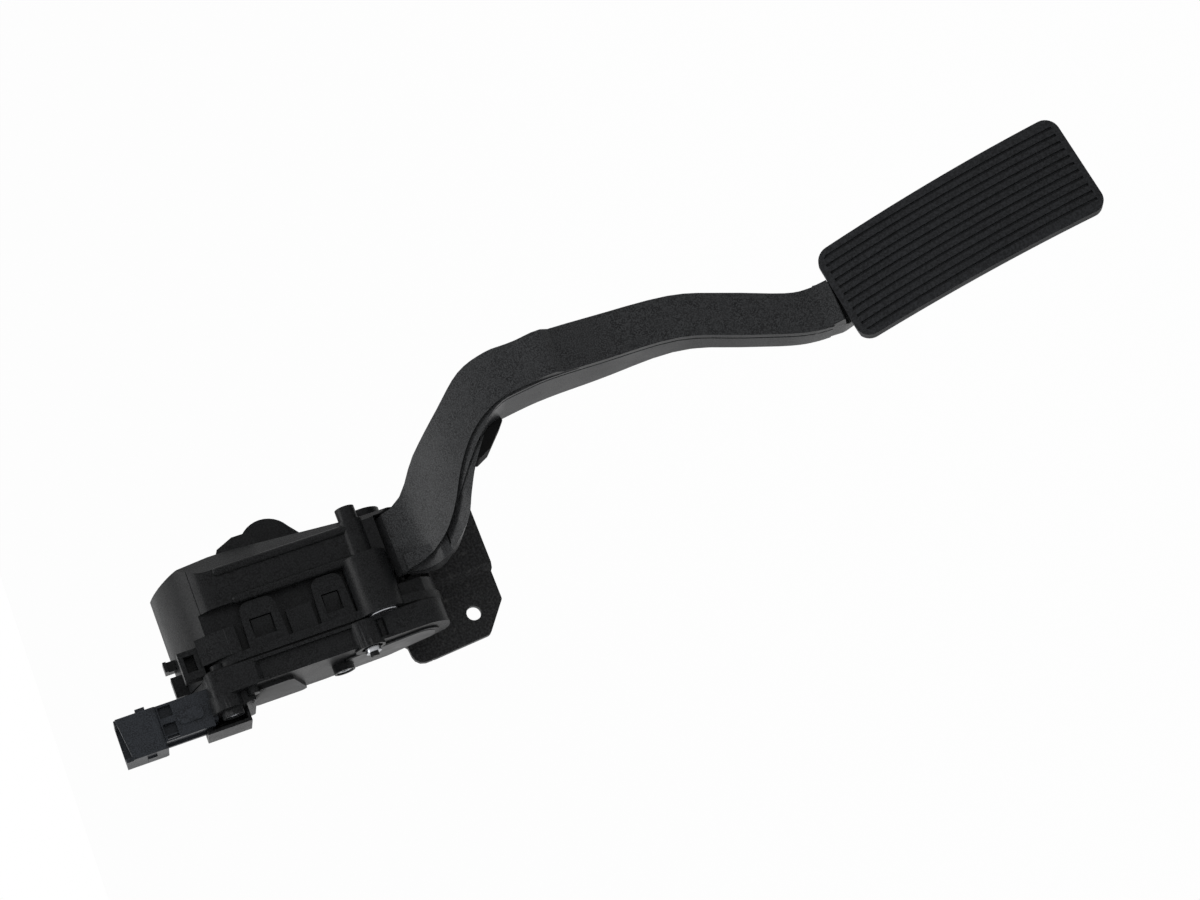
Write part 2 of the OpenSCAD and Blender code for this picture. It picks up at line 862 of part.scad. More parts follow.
module spring_cup(y0, y1, toward) {
    r = outer_coil_d / 2 + outer_wire / 2 + 0.9;
    rod_y(r, y0, y1, hub_mid, spring_z);
    nub_r = inner_coil_d / 2 - inner_wire / 2 - 0.6;
    if (toward > 0)
        rod_y(nub_r, y1, y1 + 3, hub_mid, spring_z);
    else
        rod_y(nub_r, y0 - 3, y0, hub_mid, spring_z);
}

module spring_seat() {
    color("#d8d6cf")
        spring_cup(latch_y + wall, spring_front, 1);
}

module spring_follower() {
    color("#d8d6cf")
        spring_cup(spring_back, tail_front, -1);
}

// A helix along Y, as a tube with flat ends.
module helix(coil_d, wire, turns) {
    sides = 8;
    per_turn = 14;
    y0 = spring_front + wire / 2 + 0.1;
    y1 = spring_back - wire / 2 - 0.1;
    rings = turns * per_turn;
    pitch = (y1 - y0) / turns;
    slope = atan(pitch / (PI * coil_d));
    points = [for (i = [0:rings], k = [0:sides - 1])
        let (
            a = i * 360 / per_turn,
            b = k * 360 / sides,
            r = coil_d / 2 + wire / 2 * cos(b),
            y = y0 + (y1 - y0) * i / rings + wire / 2 * sin(b)
        )
        [hub_mid + r * cos(a), y, spring_z + r * sin(a)]];
    faces = concat(
        [[for (k = [0:sides - 1]) k]],
        [for (i = [0:rings - 1], k = [0:sides - 1])
            let (
                a = i * sides + k,
                b = i * sides + (k + 1) % sides
            )
            [a, a + sides, b + sides, b]],
        [[for (k = [sides - 1:-1:0]) rings * sides + k]]
    );
    polyhedron(points, faces);
}

module return_spring_outer() {
    color("#8f9295")
        helix(outer_coil_d, outer_wire, 4);
}

module return_spring_inner() {
    color("#8f9295")
        helix(inner_coil_d, inner_wire, 5);
}

shoe_left = latch_zone_right + wall;
shoe_right = hub_mid + 10;
shoe_z = boss_z + boss_small_r + slip;

// The shoe that rubs on the hub and holds the arm steady.
module friction_shoe() {
    color("#d8d6cf")
        difference() {
            union() {
                block([shoe_left, front_y + wall, shoe_z], [shoe_right, pivot_y - 3, shoe_z + 4.5]);
                block([shoe_left, boss_y + bolt_r + 2.5, shoe_z - 4], [shoe_right, pivot_y - 3, shoe_z + 1]);
            }
            rod_x(hub_r + slip, 0, 100, pivot_y, pivot_z);
        }
}

module idle_stop() {
    color("#111111")
        rod_y(5, tail_front + tail_t + slip, plate_front, hub_mid, idle_stop_z);
}

module full_stop() {
    color("#111111")
        rod_y(3.5, front_y + wall, front_y + wall + 11, latch_zone_right + wall + 5, pivot_z + 50);
}

// Pedal arm

// Front of the arm in side view, as [y, z] from the hub down to the pad.
arm_front = [
    [front_y + 1, 30], [front_y - 6, 18], [front_y - 21, 4], [front_y - 32.5, -9],
    [-arm_reach + 11.5, -22], [-arm_reach + 5, -33], [-arm_reach, -48], [-arm_reach, -80],
    [-arm_reach, -115], [-arm_reach, -150], [-arm_reach, -172]
];

// Back of the arm, from the pad up to the hub.
arm_back = [
    [-arm_reach + low_t, -174], [-arm_reach + low_t, -150], [-arm_reach + low_t, -122],
    [-arm_reach + low_t + 4, -102], [-arm_reach + mid_t - 4, -78], [-arm_reach + mid_t, -50],
    [-arm_reach + mid_t + 6, -34], [-arm_reach + mid_t + 18, -17], [front_y + 6, -5],
    [pivot_y - 7, 9], [pivot_y - 1, pivot_z - hub_r]
];

module arm_side() {
    polygon(concat(
        curve(arm_front),
        curve(arm_back),
        [[pivot_y, pivot_z], [pivot_y - 9, pivot_z]]
    ));
}

// Outline of the arm from the driver's side, as [x, z]: the right edge down, then the left edge up.
straight_mid = hub_mid + 40;
arm_right = [
    [hub_right, 60], [hub_right + 0.5, 26], [61, 11], [73, -3], [82.5, -15], [84.8, -27],
    [straight_mid + arm_w / 2 + 0.6, -40], [straight_mid + arm_w / 2, -70],
    [straight_mid + arm_w / 2 - 1.6, -108], [75, -132], [66.6, -157], [65.4, -168], [66.5, -179]
];
arm_left = [
    [46, -179], [45.8, -168], [47.6, -156], [54, -134], [straight_mid - arm_w / 2 - 0.8, -106],
    [straight_mid - arm_w / 2, -70], [straight_mid - arm_w / 2, -38], [61.5, -24], [50, -11],
    [36, 0], [25.5, 8.5], [20.5, 15.5], [18, 22], [17.4, 30], [17.4, 60]
];

module arm_plan() {
    polygon(concat(curve(arm_right), curve(arm_left)));
}

module arm_blade() {
    intersection() {
        along_x(0, 100)
            arm_side();
        along_y(-120, 0)
            arm_plan();
    }
}

// The raised ridge across the front of the arm.
module arm_ridge() {
    intersection() {
        along_x(0, 100)
            polygon([
                [-arm_reach + 4, -36], [-arm_reach - ridge_h + 0.8, -46], [-arm_reach - ridge_h + 0.2, -50],
                [-arm_reach + 0.5, -55], [-arm_reach + 8, -55], [-arm_reach + 12, -36]
            ]);
        along_y(-120, 0)
            arm_plan();
    }
}

// Places its children in the pad's own frame: X across, Y into the pad, Z along it.
pad_centre = [hub_mid + 29.9, -arm_reach - 28.5, -230.6];

module in_pad() {
    translate(pad_centre)
        rotate([-pad_slope, 0, 0])
            rotate([0, -pad_turn, 0])
                children();
}

// A bar along the pad's curve, with the given 2D section: x is the depth behind the face.
module along_pad(length) {
    half = length / 2 / pad_curve * 180 / PI;
    translate([0, pad_curve, 0])
        rotate([0, 90, 0])
            rotate([0, 0, -90 - half])
                rotate_extrude(angle = 2 * half, $fn = 360)
                    translate([pad_curve, 0])
                        children();
}

module pad_outline(inset) {
    l = pad_len / 2 - inset;
    a = pad_w_top / 2 - inset;
    b = pad_w_low / 2 - inset;
    r = pad_corner - inset / 2;
    polygon(rounded([[-a, l, r], [a, l, r], [b, -l, r], [-b, -l, r]]));
}

module pad_body(inset, depth0, depth1) {
    intersection() {
        along_pad(pad_len + 2)
            translate([-depth1, -50])
                square([depth1 - depth0, 100]);
        along_y(-40, 60)
            pad_outline(inset);
    }
}

stud_r = 3;
stud_z = [-36, 8];
carrier_front = pad_t + 0.2;

module pedal_pad() {
    pitch = (pad_w_top - 3) / grooves;
    color("#15171a")
        in_pad() {
            difference() {
                pad_body(0, 0, pad_t);
                for (i = [0:grooves - 1])
                    intersection() {
                        along_pad(pad_len - 5)
                            translate([-groove_d, (i - (grooves - 1) / 2) * pitch - groove_w / 2])
                                square([groove_d + past, groove_w]);
                        along_y(-40, 60)
                            pad_outline(2);
                    }
            }
            // The two studs that hold the pad on its carrier.
            for (z = stud_z) {
                rod_y(stud_r, pad_t - 2, pad_t + carrier_t + 5, 0, z);
                rod_y(stud_r + 1.6, pad_t + carrier_t + 3.2, pad_t + carrier_t + 5.2, 0, z);
            }
        }
}

module pad_carrier() {
    in_pad() {
        difference() {
            union() {
                pad_body(2.5, carrier_front, carrier_front + carrier_t);
                // Ribs along the back of the carrier.
                for (x = [-9, 9])
                    intersection() {
                        block([x - 1, pad_t + 2, -pad_len / 2 + 10], [x + 1, pad_t + 60, pad_len / 2 - 6]);
                        along_pad(pad_len)
                            translate([-carrier_front - carrier_t - 5, -30])
                                square([6, 60]);
                    }
            }
            for (z = stud_z)
                rod_y(stud_r + slip, 0, 40, 0, z);
        }
    }
}

// The tongue that joins the blade to the carrier.
module tongue() {
    intersection() {
        along_x(0, 100)
            polygon([
                [-arm_reach, -170], [-arm_reach + 4, -180], [-arm_reach - 4, -196], [-arm_reach - 12, -210],
                [-arm_reach - 8, -214], [-arm_reach + 2, -200], [-arm_reach + low_t, -182], [-arm_reach + low_t, -170]
            ]);
        along_y(-130, 0)
            polygon([[46.2, -169], [65.8, -169], [67, -180], [72, -214], [52, -214], [46, -180]]);
    }
}

module arm_tail() {
    block([hub_mid - tail_w / 2, tail_front, pivot_z], [hub_mid + tail_w / 2, tail_front + tail_t, tail_top]);
}

module pedal_arm() {
    color("#2b2c2e")
        difference() {
            union() {
                arm_blade();
                arm_flare();
                arm_ridge();
                tongue();
                pad_carrier();
                rod_x(hub_r, hub_left, hub_right, pivot_y, pivot_z);
                arm_tail();
            }
            rod_x(shaft_r + press_gap, hub_left - past, hub_right + past, pivot_y, pivot_z);
            // The blade stays clear of the left bush boss and of the housing's right wall.
            block([0, pivot_y - hub_r - 2, 0], [hub_left, 0, boss_z]);
            rod_x(end_r + 1, hub_right, housing_right + 20, pivot_y, pivot_z);
            // The pad's top end lies in a recess of the arm.
            in_pad()
                intersection() {
                    along_pad(pad_len + 4)
                        translate([-pad_t - 0.1, -50])
                            square([pad_t + 10, 100]);
                    along_y(-40, 60)
                        pad_outline(-0.4);
                }
            arm_grooves();
        }
}

// The row of points d beside a row p, on the left of its direction.
function beside(p, d) =
    let (n = len(p) - 1)
    [for (i = [0:n])
        let (t = p[min(i + 1, n)] - p[max(i - 1, 0)])
        p[i] + d * [-t[1], t[0]] / norm(t)];

function backwards(p) = [for (i = [len(p) - 1:-1:0]) p[i]];

// A strip of the side view between two depths behind the arm's front.
module front_band(from, to) {
    polygon(concat(beside(curve(arm_front), from), backwards(beside(curve(arm_front), to))));
}

// A strip of the driver's view along the arm's left edge, d deep.
module left_band(edge, d) {
    polygon(concat(beside(curve(edge), past * 4), backwards(beside(curve(edge), -d))));
}

// The groove between the front skin and the side, and two slots beside the root.
module arm_grooves() {
    intersection() {
        along_x(0, 100)
            front_band(3, 4);
        along_y(-120, 0)
            left_band(arm_left, 0.8);
    }
    for (depth = [12, 19])
        intersection() {
            along_x(0, 100)
                front_band(depth, depth + 3);
            along_y(-120, 0)
                left_band(backwards(flare_edge), 2.5);
            block([0, -100, 3 + (19 - depth) / 2], [40, 0, 19 + (12 - depth) / 2]);
        }
}

// The arm flares out at its left side, down from the hub.
flare_edge = [[17.5, 28], [15.2, 20], [15.6, 12.5], [20, 5], [26, -0.6], [34.6, -4.6], [44, -9.5], [54, -16.5]];
flare_depth = 22;

module arm_flare() {
    intersection() {
        along_y(-90, front_y + 8)
            polygon(concat(curve(flare_edge), [[50, -10], [36, 1], [24, 14], [24, 28]]));
        along_x(0, 100)
            polygon(concat(curve(arm_back), backwards(beside(curve(arm_back), flare_depth))));
    }
}

// The rubber buffer is moulded round the back edge of the arm.
module stop_buffer() {
    color("#101010")
        difference() {
            along_y(-66, -54)
                polygon(rounded([[62, -30, 1.5], [51.5, -20, 1], [48.5, -14, 1], [56, -9, 1], [70, -22, 1]]));
            arm_blade();
            arm_flare();
        }
}

mounting_bracket();
housing();
latch_plate();
cover_gasket();
sensor_cover();
cover_screws();
blank_label();
connector_shell();
connector_pins();
circuit_board();
sensor_chip();
shaft_seal();
bush_left();
bush_right();
through_bolt();
bolt_washer();
bracket_screws();
ear_insert();
spring_seat();
return_spring_outer();
return_spring_inner();
friction_shoe();
idle_stop();
full_stop();
pedal_arm();
pedal_pad();
pivot_shaft();
sensor_rotor();
rotor_magnet();
spring_follower();
stop_buffer();
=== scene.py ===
"""Looks of a hanging electronic accelerator pedal, in moulded plastics, coated steel and grooved rubber.

The frame is the part's own: X to the driver's right, Y to the bulkhead, Z up. Lengths are in metres, and in
millimetres where a name or a comment says so.
"""

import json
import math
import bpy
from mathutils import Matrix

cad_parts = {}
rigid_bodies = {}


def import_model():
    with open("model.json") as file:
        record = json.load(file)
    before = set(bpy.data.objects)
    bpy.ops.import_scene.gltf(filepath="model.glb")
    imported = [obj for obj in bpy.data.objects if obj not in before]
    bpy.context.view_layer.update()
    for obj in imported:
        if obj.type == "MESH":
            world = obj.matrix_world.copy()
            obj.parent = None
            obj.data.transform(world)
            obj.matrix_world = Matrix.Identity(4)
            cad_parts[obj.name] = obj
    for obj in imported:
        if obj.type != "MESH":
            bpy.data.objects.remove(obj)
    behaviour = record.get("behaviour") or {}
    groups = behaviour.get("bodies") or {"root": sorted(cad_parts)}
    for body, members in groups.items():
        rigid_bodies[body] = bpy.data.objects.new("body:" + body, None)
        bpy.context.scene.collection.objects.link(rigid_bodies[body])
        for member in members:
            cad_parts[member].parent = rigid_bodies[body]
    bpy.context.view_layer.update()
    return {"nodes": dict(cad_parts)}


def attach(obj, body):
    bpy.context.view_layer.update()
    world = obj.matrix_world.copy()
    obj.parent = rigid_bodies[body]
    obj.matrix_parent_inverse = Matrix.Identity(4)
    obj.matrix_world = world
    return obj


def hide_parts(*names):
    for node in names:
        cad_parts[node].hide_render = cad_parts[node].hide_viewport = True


bl_info = {
    "name": "Accelerator pedal",
    "version": (1, 0, 0),
    "blender": (4, 5, 0),
    "location": "3D View > Sidebar > Pedal",
    "description": "Finishes the pieces of a hanging accelerator pedal and lights them",
    "category": "Object",
}

import bmesh
import bpy
from bpy.props import FloatProperty, FloatVectorProperty, PointerProperty
from mathutils import Matrix, Vector

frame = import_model()

MILLIMETRE = 0.001
WHITE = (1.0, 1.0, 1.0, 1.0)

# The camera stands on the driver's side, a little to the left and above. Its picture is turned, so that the
# pedal hangs to the right.
CAMERA_PLACE = (-0.2123, -0.9906, 0.1923)
PICTURE_RIGHT = (-0.3687, -0.1554, -0.9164)
PICTURE_DOWN = (-0.8951, 0.3245, 0.3051)
LENS = 69.75
SENSOR = 36.0

# One softbox above the pedal, in metres and watts, and what the pale room adds from all around.
LAMP_PLACE = (0.456, -0.27, 1.52)
LAMP_TARGET = (0.03, -0.06, -0.06)
LAMP_SIDE = 0.6
LAMP_POWER = 9.0
ROOM_LIGHT = 0.55
FLOOR_COLOUR = (0.8, 0.8, 0.8, 1.0)
FLOOR_SHINE = 0.97

# Name of the attribute that is 1 on the rounded edges of a piece.
RUBBED_EDGE = "rubbed_edge"

# Points closer than this are one point.
SAME_POINT = 2e-6

# Angles in degrees. Faces that turn less than the first are joined, or on the pad less than the second. Edges
# that turn more than the third are rounded, and past the fourth they stay sharp in the shading.
FLAT_ANGLE = 0.6
PAD_FLAT_ANGLE = 0.05
ROUNDED_ANGLE = 28.0
SHADED_ANGLE = 38.0

SCREW_ROUNDING = 0.15 * MILLIMETRE


# Shader maths


class Wire:
    """A socket of a material. Sums with numbers and other wires add Math nodes."""

    def __init__(self, tree, socket):
        self.tree = tree
        self.socket = socket

    def _sum(self, operation, first, second):
        node = self.tree.nodes.new("ShaderNodeMath")
        node.operation = operation
        for place, value in zip(node.inputs, (first, second)):
            if isinstance(value, Wire):
                self.tree.links.new(value.socket, place)
            else:
                place.default_value = value
        return Wire(self.tree, node.outputs[0])

    def __add__(self, other):
        return self._sum("ADD", self, other)

    def __radd__(self, other):
        return self._sum("ADD", other, self)

    def __sub__(self, other):
        return self._sum("SUBTRACT", self, other)

    def __rsub__(self, other):
        return self._sum("SUBTRACT", other, self)

    def __mul__(self, other):
        return self._sum("MULTIPLY", self, other)

    def __rmul__(self, other):
        return self._sum("MULTIPLY", other, self)


class Nodes:
    """The nodes of a material or of the world."""

    def __init__(self, tree):
        self.tree = tree

    def add(self, kind, settings=None, inputs=None, output=0):
        """Adds a node: its settings first, then the values or wires of its sockets. Gives back a wire."""
        node = self.tree.nodes.new(kind)
        for key, value in (settings or {}).items():
            setattr(node, key, value)
        for key, value in (inputs or {}).items():
            socket = next((s for s in node.inputs if s.identifier == key), None) or node.inputs[key]
            if isinstance(value, Wire):
                self.tree.links.new(value.socket, socket)
            else:
                socket.default_value = value
        found = next((s for s in node.outputs if s.identifier == output), None)
        return Wire(self.tree, found or node.outputs[output])

    def seen_directly(self):
        """1 for rays that show the backdrop: from the camera, off gloss and through glass."""
        path = "ShaderNodeLightPath"
        camera = self.add(path, output="Is Camera Ray")
        glossy = self.add(path, output="Is Glossy Ray")
        through = self.add(path, output="Is Transmission Ray")
        return camera + glossy + through


class Finish(Nodes):
    """A material on its way: its nodes and the shader at their end."""

    def __init__(self, name, **constants):
        self.material = bpy.data.materials.new(name)
        self.material.use_nodes = True
        super().__init__(self.material.node_tree)
        self.shader = self.tree.nodes["Principled BSDF"]
        for socket, value in constants.items():
            self.shader.inputs[socket.replace("_", " ")].default_value = value

    def place(self):
        """The place on the piece, in metres."""
        return self.add("ShaderNodeTexCoord", output="Object")

    def noise(self, size, detail=2.0, roughness=0.5, stretch=(1, 1, 1)):
        """Noise whose grains are about the given size in metres."""
        at = self.place()
        if tuple(stretch) != (1, 1, 1):
            at = self.add("ShaderNodeMapping", inputs={"Vector": at, "Scale": stretch}, output="Vector")
        return self.add(
            "ShaderNodeTexNoise",
            inputs={"Vector": at, "Scale": 1 / size, "Detail": detail, "Roughness": roughness},
        )

    def steps(self, wire, low, high, to_low=0.0, to_high=1.0):
        """Stretches a value from low..high to to_low..to_high, and holds it there."""
        return self.add(
            "ShaderNodeMapRange",
            {"clamp": True},
            {"Value": wire, "From Min": low, "From Max": high, "To Min": to_low, "To Max": to_high},
        )

    def mixed(self, share, first, second):
        """A colour between two."""
        return self.add(
            "ShaderNodeMix",
            {"data_type": "RGBA"},
            {"Factor_Float": share, "A_Color": first, "B_Color": second},
            output="Result_Color",
        )

    def rubbed(self):
        """1 on the rounded edges of a piece, 0 elsewhere."""
        return self.add("ShaderNodeAttribute", {"attribute_name": RUBBED_EDGE}, output="Fac")

    def feed(self, **wires):
        """Links wires to the shader's sockets."""
        for socket, wire in wires.items():
            self.tree.links.new(wire.socket, self.shader.inputs[socket.replace("_", " ")])

    def bump(self, height, depth):
        """A surface whose height runs over the given depth in metres."""
        inputs = {"Height": height, "Distance": depth, "Strength": 1.0}
        return self.add("ShaderNodeBump", inputs=inputs, output="Normal")


def tone(value, share=1.0):
    """A colour for a socket, times a share."""
    return tuple(channel * share for channel in value[:3]) + (1.0,)


def moulded_plastic(name, colour, grain, sheen, specular=0.09, depth=0.00009, contrast=0.75, rub_tone=1.5):
    """Moulded plastic with a fine grain, light and dark specks, faint clouds and rubbed edges.

    The sheen is the mean roughness, and the depth is that of the grain in metres. The contrast is that of the
    specks, and rub_tone says how much lighter the rubbed edges are.
    """
    finish = Finish(name, Specular_IOR_Level=specular)
    fine = finish.noise(grain * 0.7, 3.0, 0.7)
    specks = finish.steps(finish.noise(grain * 0.7, 1.0, 0.6), 0.42, 0.6)
    clouds = finish.steps(finish.noise(0.016, 3.0, 0.55), 0.3, 0.7)
    base = finish.mixed(specks, tone(colour, 1 - contrast), tone(colour, 1 + contrast * 1.1))
    base = finish.mixed(clouds * 0.1, base, tone(colour, 1.5))
    rub = finish.rubbed() * finish.steps(finish.noise(0.004, 3.0), 0.35, 0.65, 0.1, 0.55)
    base = finish.mixed(rub, base, tone(colour, rub_tone))
    rough = finish.steps(clouds, 0.0, 1.0, sheen - 0.03, sheen + 0.04) - rub * 0.06
    finish.feed(Base_Color=base, Roughness=rough, Normal=finish.bump(fine, depth))
    return finish.material


def pad_rubber(name, colour, grain):
    """Rubber of the pad: matt, slightly blue, worn paler where the shoe rubs."""
    finish = Finish(name, Specular_IOR_Level=0.12)
    fine = finish.noise(grain, 3.0, 0.7)
    specks = finish.steps(finish.noise(grain * 1.6, 1.0, 0.6), 0.38, 0.64)
    wear = finish.steps(finish.noise(0.03, 4.0, 0.6), 0.35, 0.7)
    base = finish.mixed(specks, tone(colour, 0.4), tone(colour, 1.7))
    base = finish.mixed(wear * 0.3, base, tone(colour, 1.5))
    base = finish.mixed(finish.rubbed() * finish.steps(fine, 0.4, 0.7) * 0.5, base, tone(colour, 1.9))
    rough = finish.steps(wear, 0.0, 1.0, 0.6, 0.52)
    finish.feed(Base_Color=base, Roughness=rough, Normal=finish.bump(fine, 0.00004))
    return finish.material


def coated_steel(name, colour):
    """Pressed steel under a black coat: a soft orange peel, with thin wear at the edges."""
    finish = Finish(name, Specular_IOR_Level=0.12)
    peel = finish.noise(0.0011, 3.0, 0.5)
    specks = finish.steps(finish.noise(0.001, 1.0, 0.6), 0.38, 0.64)
    patches = finish.steps(finish.noise(0.015, 4.0, 0.6), 0.3, 0.7)
    rub = finish.rubbed() * finish.steps(finish.noise(0.0028, 4.0, 0.65), 0.56, 0.7)
    base = finish.mixed(specks, tone(colour, 0.4), tone(colour, 1.7))
    base = finish.mixed(patches * 0.15, base, tone(colour, 1.7))
    base = finish.mixed(rub * 0.3, base, (0.12, 0.118, 0.115, 1.0))
    finish.feed(
        Base_Color=base,
        Metallic=rub * 0.3,
        Roughness=finish.steps(patches, 0.0, 1.0, 0.42, 0.5),
        Normal=finish.bump(peel, 0.00003),
    )
    return finish.material


def plain_steel(name, colour, rough, brushed=(1, 1, 1)):
    """Bright metal with fine marks and dull spots."""
    finish = Finish(name, Metallic=1.0)
    marks = finish.noise(0.0006, 4.0, 0.6, stretch=brushed)
    spots = finish.steps(finish.noise(0.003, 4.0, 0.65), 0.5, 0.72)
    base = finish.mixed(spots, tone(colour), tone(colour, 0.62))
    finish.feed(
        Base_Color=base,
        Roughness=finish.steps(marks, 0.3, 0.7, rough - 0.06, rough + 0.1) + spots * 0.12,
        Normal=finish.bump(marks, 0.00001),
    )
    return finish.material


def seal_rubber(name, colour):
    """Soft black rubber with a dull skin."""
    finish = Finish(name, Specular_IOR_Level=0.15)
    fine = finish.noise(0.0005, 3.0, 0.6)
    bloom = finish.steps(finish.noise(0.006, 3.0), 0.4, 0.7)
    finish.feed(
        Base_Color=finish.mixed(bloom, tone(colour), tone(colour, 1.8)),
        Roughness=finish.steps(fine, 0.3, 0.7, 0.65, 0.8),
        Normal=finish.bump(fine, 0.00003),
    )
    return finish.material


def label_film(name, colour):
    """A bare label: thin satin film with faint handling marks."""
    finish = Finish(name, Specular_IOR_Level=0.3)
    marks = finish.noise(0.0035, 4.0, 0.7, stretch=(1, 1, 0.5))
    soil = finish.steps(finish.noise(0.012, 3.0), 0.42, 0.72)
    base = finish.mixed(soil * 0.5, tone(colour), tone(colour, 0.72))
    base = finish.mixed(finish.steps(marks, 0.62, 0.75) * 0.4, base, tone(colour, 0.55))
    finish.feed(
        Base_Color=base,
        Roughness=finish.steps(marks, 0.3, 0.7, 0.36, 0.5),
        Normal=finish.bump(marks, 0.00001),
    )
    return finish.material


# Pieces


def joined_copy(node):
    """Copies a node's mesh and joins its loose triangles."""
    mesh = frame["nodes"][node].data.copy()
    mesh.materials.clear()
    shape = bmesh.new()
    shape.from_mesh(mesh)
    bmesh.ops.remove_doubles(shape, verts=shape.verts, dist=SAME_POINT)
    shape.to_mesh(mesh)
    shape.free()
    return mesh


def only_verts(parts):
    """The points among the parts that an operator gives back."""
    return [part for part in parts if isinstance(part, bmesh.types.BMVert)]


def prism(outline, along, start, end, turn=0.0):
    """A prism in millimetres. Its outline lies across the axis "x" or "y", and it may be turned about Z."""
    shape = bmesh.new()
    place = {"x": lambda u, v: (start, u, v), "y": lambda u, v: (u, start, v)}[along]
    base = shape.faces.new([shape.verts.new(place(u, v)) for u, v in outline])
    made = bmesh.ops.extrude_face_region(shape, geom=[base])["geom"]
    way = (end - start, 0, 0) if along == "x" else (0, end - start, 0)
    bmesh.ops.translate(shape, verts=only_verts(made), vec=way)
    about_z = Matrix.Rotation(math.radians(turn), 3, "Z")
    bmesh.ops.rotate(shape, verts=shape.verts, cent=(0, 0, 0), matrix=about_z)
    return closed_mesh(shape)


def rod(radius, start, end, y, z):
    """A rod along X, in millimetres."""
    shape = bmesh.new()
    bmesh.ops.create_cone(
        shape,
        cap_ends=True,
        segments=64,
        radius1=radius,
        radius2=radius,
        depth=end - start,
        matrix=Matrix.Translation(((start + end) / 2, y, z)) @ Matrix.Rotation(math.radians(90), 4, "Y"),
    )
    return closed_mesh(shape)


def closed_mesh(shape):
    """Turns a shape in millimetres into a mesh in metres, with its faces outwards."""
    bmesh.ops.scale(shape, verts=shape.verts, vec=(MILLIMETRE,) * 3)
    bmesh.ops.recalc_face_normals(shape, faces=shape.faces)
    mesh = bpy.data.meshes.new("carving")
    shape.to_mesh(mesh)
    shape.free()
    return mesh


def carved(mesh, *steps):
    """Joins meshes to a mesh, or cuts them from it, in order. Each step is an operation and a mesh."""
    scene = bpy.context.scene.collection.objects
    base = bpy.data.objects.new("carving_base", mesh)
    scene.link(base)
    helpers = [base]
    for operation, tool in steps:
        helper = bpy.data.objects.new("carving_tool", tool)
        scene.link(helper)
        helpers.append(helper)
        modifier = base.modifiers.new(operation.title(), "BOOLEAN")
        modifier.operation = operation
        modifier.solver = "EXACT"
        modifier.object = helper
    bpy.context.view_layer.update()
    result = bpy.data.meshes.new_from_object(base.evaluated_get(bpy.context.evaluated_depsgraph_get()))
    for helper in helpers:
        bpy.data.objects.remove(helper)
    return result


def smooth_row(points):
    """A smooth curve through a row of points."""
    row = []
    last = len(points) - 1
    for i in range(last):
        a, b, c, d = (Vector(points[k]) for k in (max(i - 1, 0), i, i + 1, min(i + 2, last)))
        for k in range(CURVE_STEPS):
            t = k / CURVE_STEPS
            squared = (2 * a - 5 * b + 4 * c - d) * t**2
            cubed = (3 * b - a - 3 * c + d) * t**3
            row.append(0.5 * (2 * b + (c - a) * t + squared + cubed))
    return [tuple(p) for p in row] + [tuple(points[-1])]


def beside(row, distance):
    """The row of points at a distance on the left of a row's direction."""
    moved = []
    for i, point in enumerate(row):
        way = Vector(row[min(i + 1, len(row) - 1)]) - Vector(row[max(i - 1, 0)])
        moved.append(tuple(Vector(point) + distance * Vector((-way[1], way[0])).normalized()))
    return moved


def rounded(mesh, size, flat=FLAT_ANGLE):
    """Joins a mesh's flat faces, rounds its sharp edges and marks them for the wear."""
    shape = bmesh.new()
    shape.from_mesh(mesh)
    bmesh.ops.remove_doubles(shape, verts=shape.verts, dist=SAME_POINT)
    bmesh.ops.dissolve_limit(
        shape,
        angle_limit=math.radians(flat),
        use_dissolve_boundaries=False,
        verts=shape.verts,
        edges=shape.edges,
    )
    for face in shape.faces:
        face.smooth = True
        face.material_index = 0
    limit = math.radians(ROUNDED_ANGLE)
    sharp = [e for e in shape.edges if e.is_manifold and e.calc_face_angle(0.0) > limit]
    layer = shape.verts.layers.float.new(RUBBED_EDGE)
    made = bmesh.ops.bevel(
        shape,
        geom=sharp,
        affect="EDGES",
        offset_type="OFFSET",
        offset=size,
        segments=2,
        profile=0.5,
        material=-1,
        clamp_overlap=True,
    )
    for vert in made["verts"]:
        vert[layer] = 1.0
    shape.to_mesh(mesh)
    shape.free()
    mesh.set_sharp_from_angle(angle=math.radians(SHADED_ANGLE))
    return mesh


def finish_piece(node, body, material, rounding, mesh=None, flat=FLAT_ANGLE):
    """Stands a rounded copy with its finish in a node's place. A carved mesh may be given for it."""
    piece = bpy.data.objects.new(node + "_finished", rounded(mesh or joined_copy(node), rounding, flat))
    bpy.context.scene.collection.objects.link(piece)
    piece.data.materials.clear()
    piece.data.materials.append(material)
    weighted = piece.modifiers.new("Even shading", "WEIGHTED_NORMAL")
    weighted.keep_sharp = True
    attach(piece, body)
    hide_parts(node)


# Carved forms, in millimetres

CURVE_STEPS = 4

# The arm from the side, as (Y, Z): its front from the root down to the straight part, then its back upwards.
ARM_FRONT = (
    (-44, 30), (-51, 18), (-66, 4), (-77.5, -9), (-87.5, -22), (-94, -33), (-99, -48), (-99, -80),
    (-99, -115),
)
ARM_BACK = (
    (-75, -78), (-71, -50), (-65, -34), (-53, -17), (-39, -5), (-32, 9), (-26, 23),
)

# The left edge of the thin front skin, as (X, Z), and what closes its outline on the left of the arm.
SKIN_EDGE = (
    (63.3, -60), (63.5, -46), (64, -35), (63.4, -26), (60.8, -18.7), (56, -11.8), (50, -6.7), (43.3, -2.4),
    (34, 2.4), (27.5, 6.8), (23.3, 10.8), (20.4, 15.5), (18.4, 21), (17.6, 27),
)
SKIN_CLOSING = [(8, 27), (8, -60)]
SKIN_THICKNESS = 1.3
SKIN_MARGIN = 3

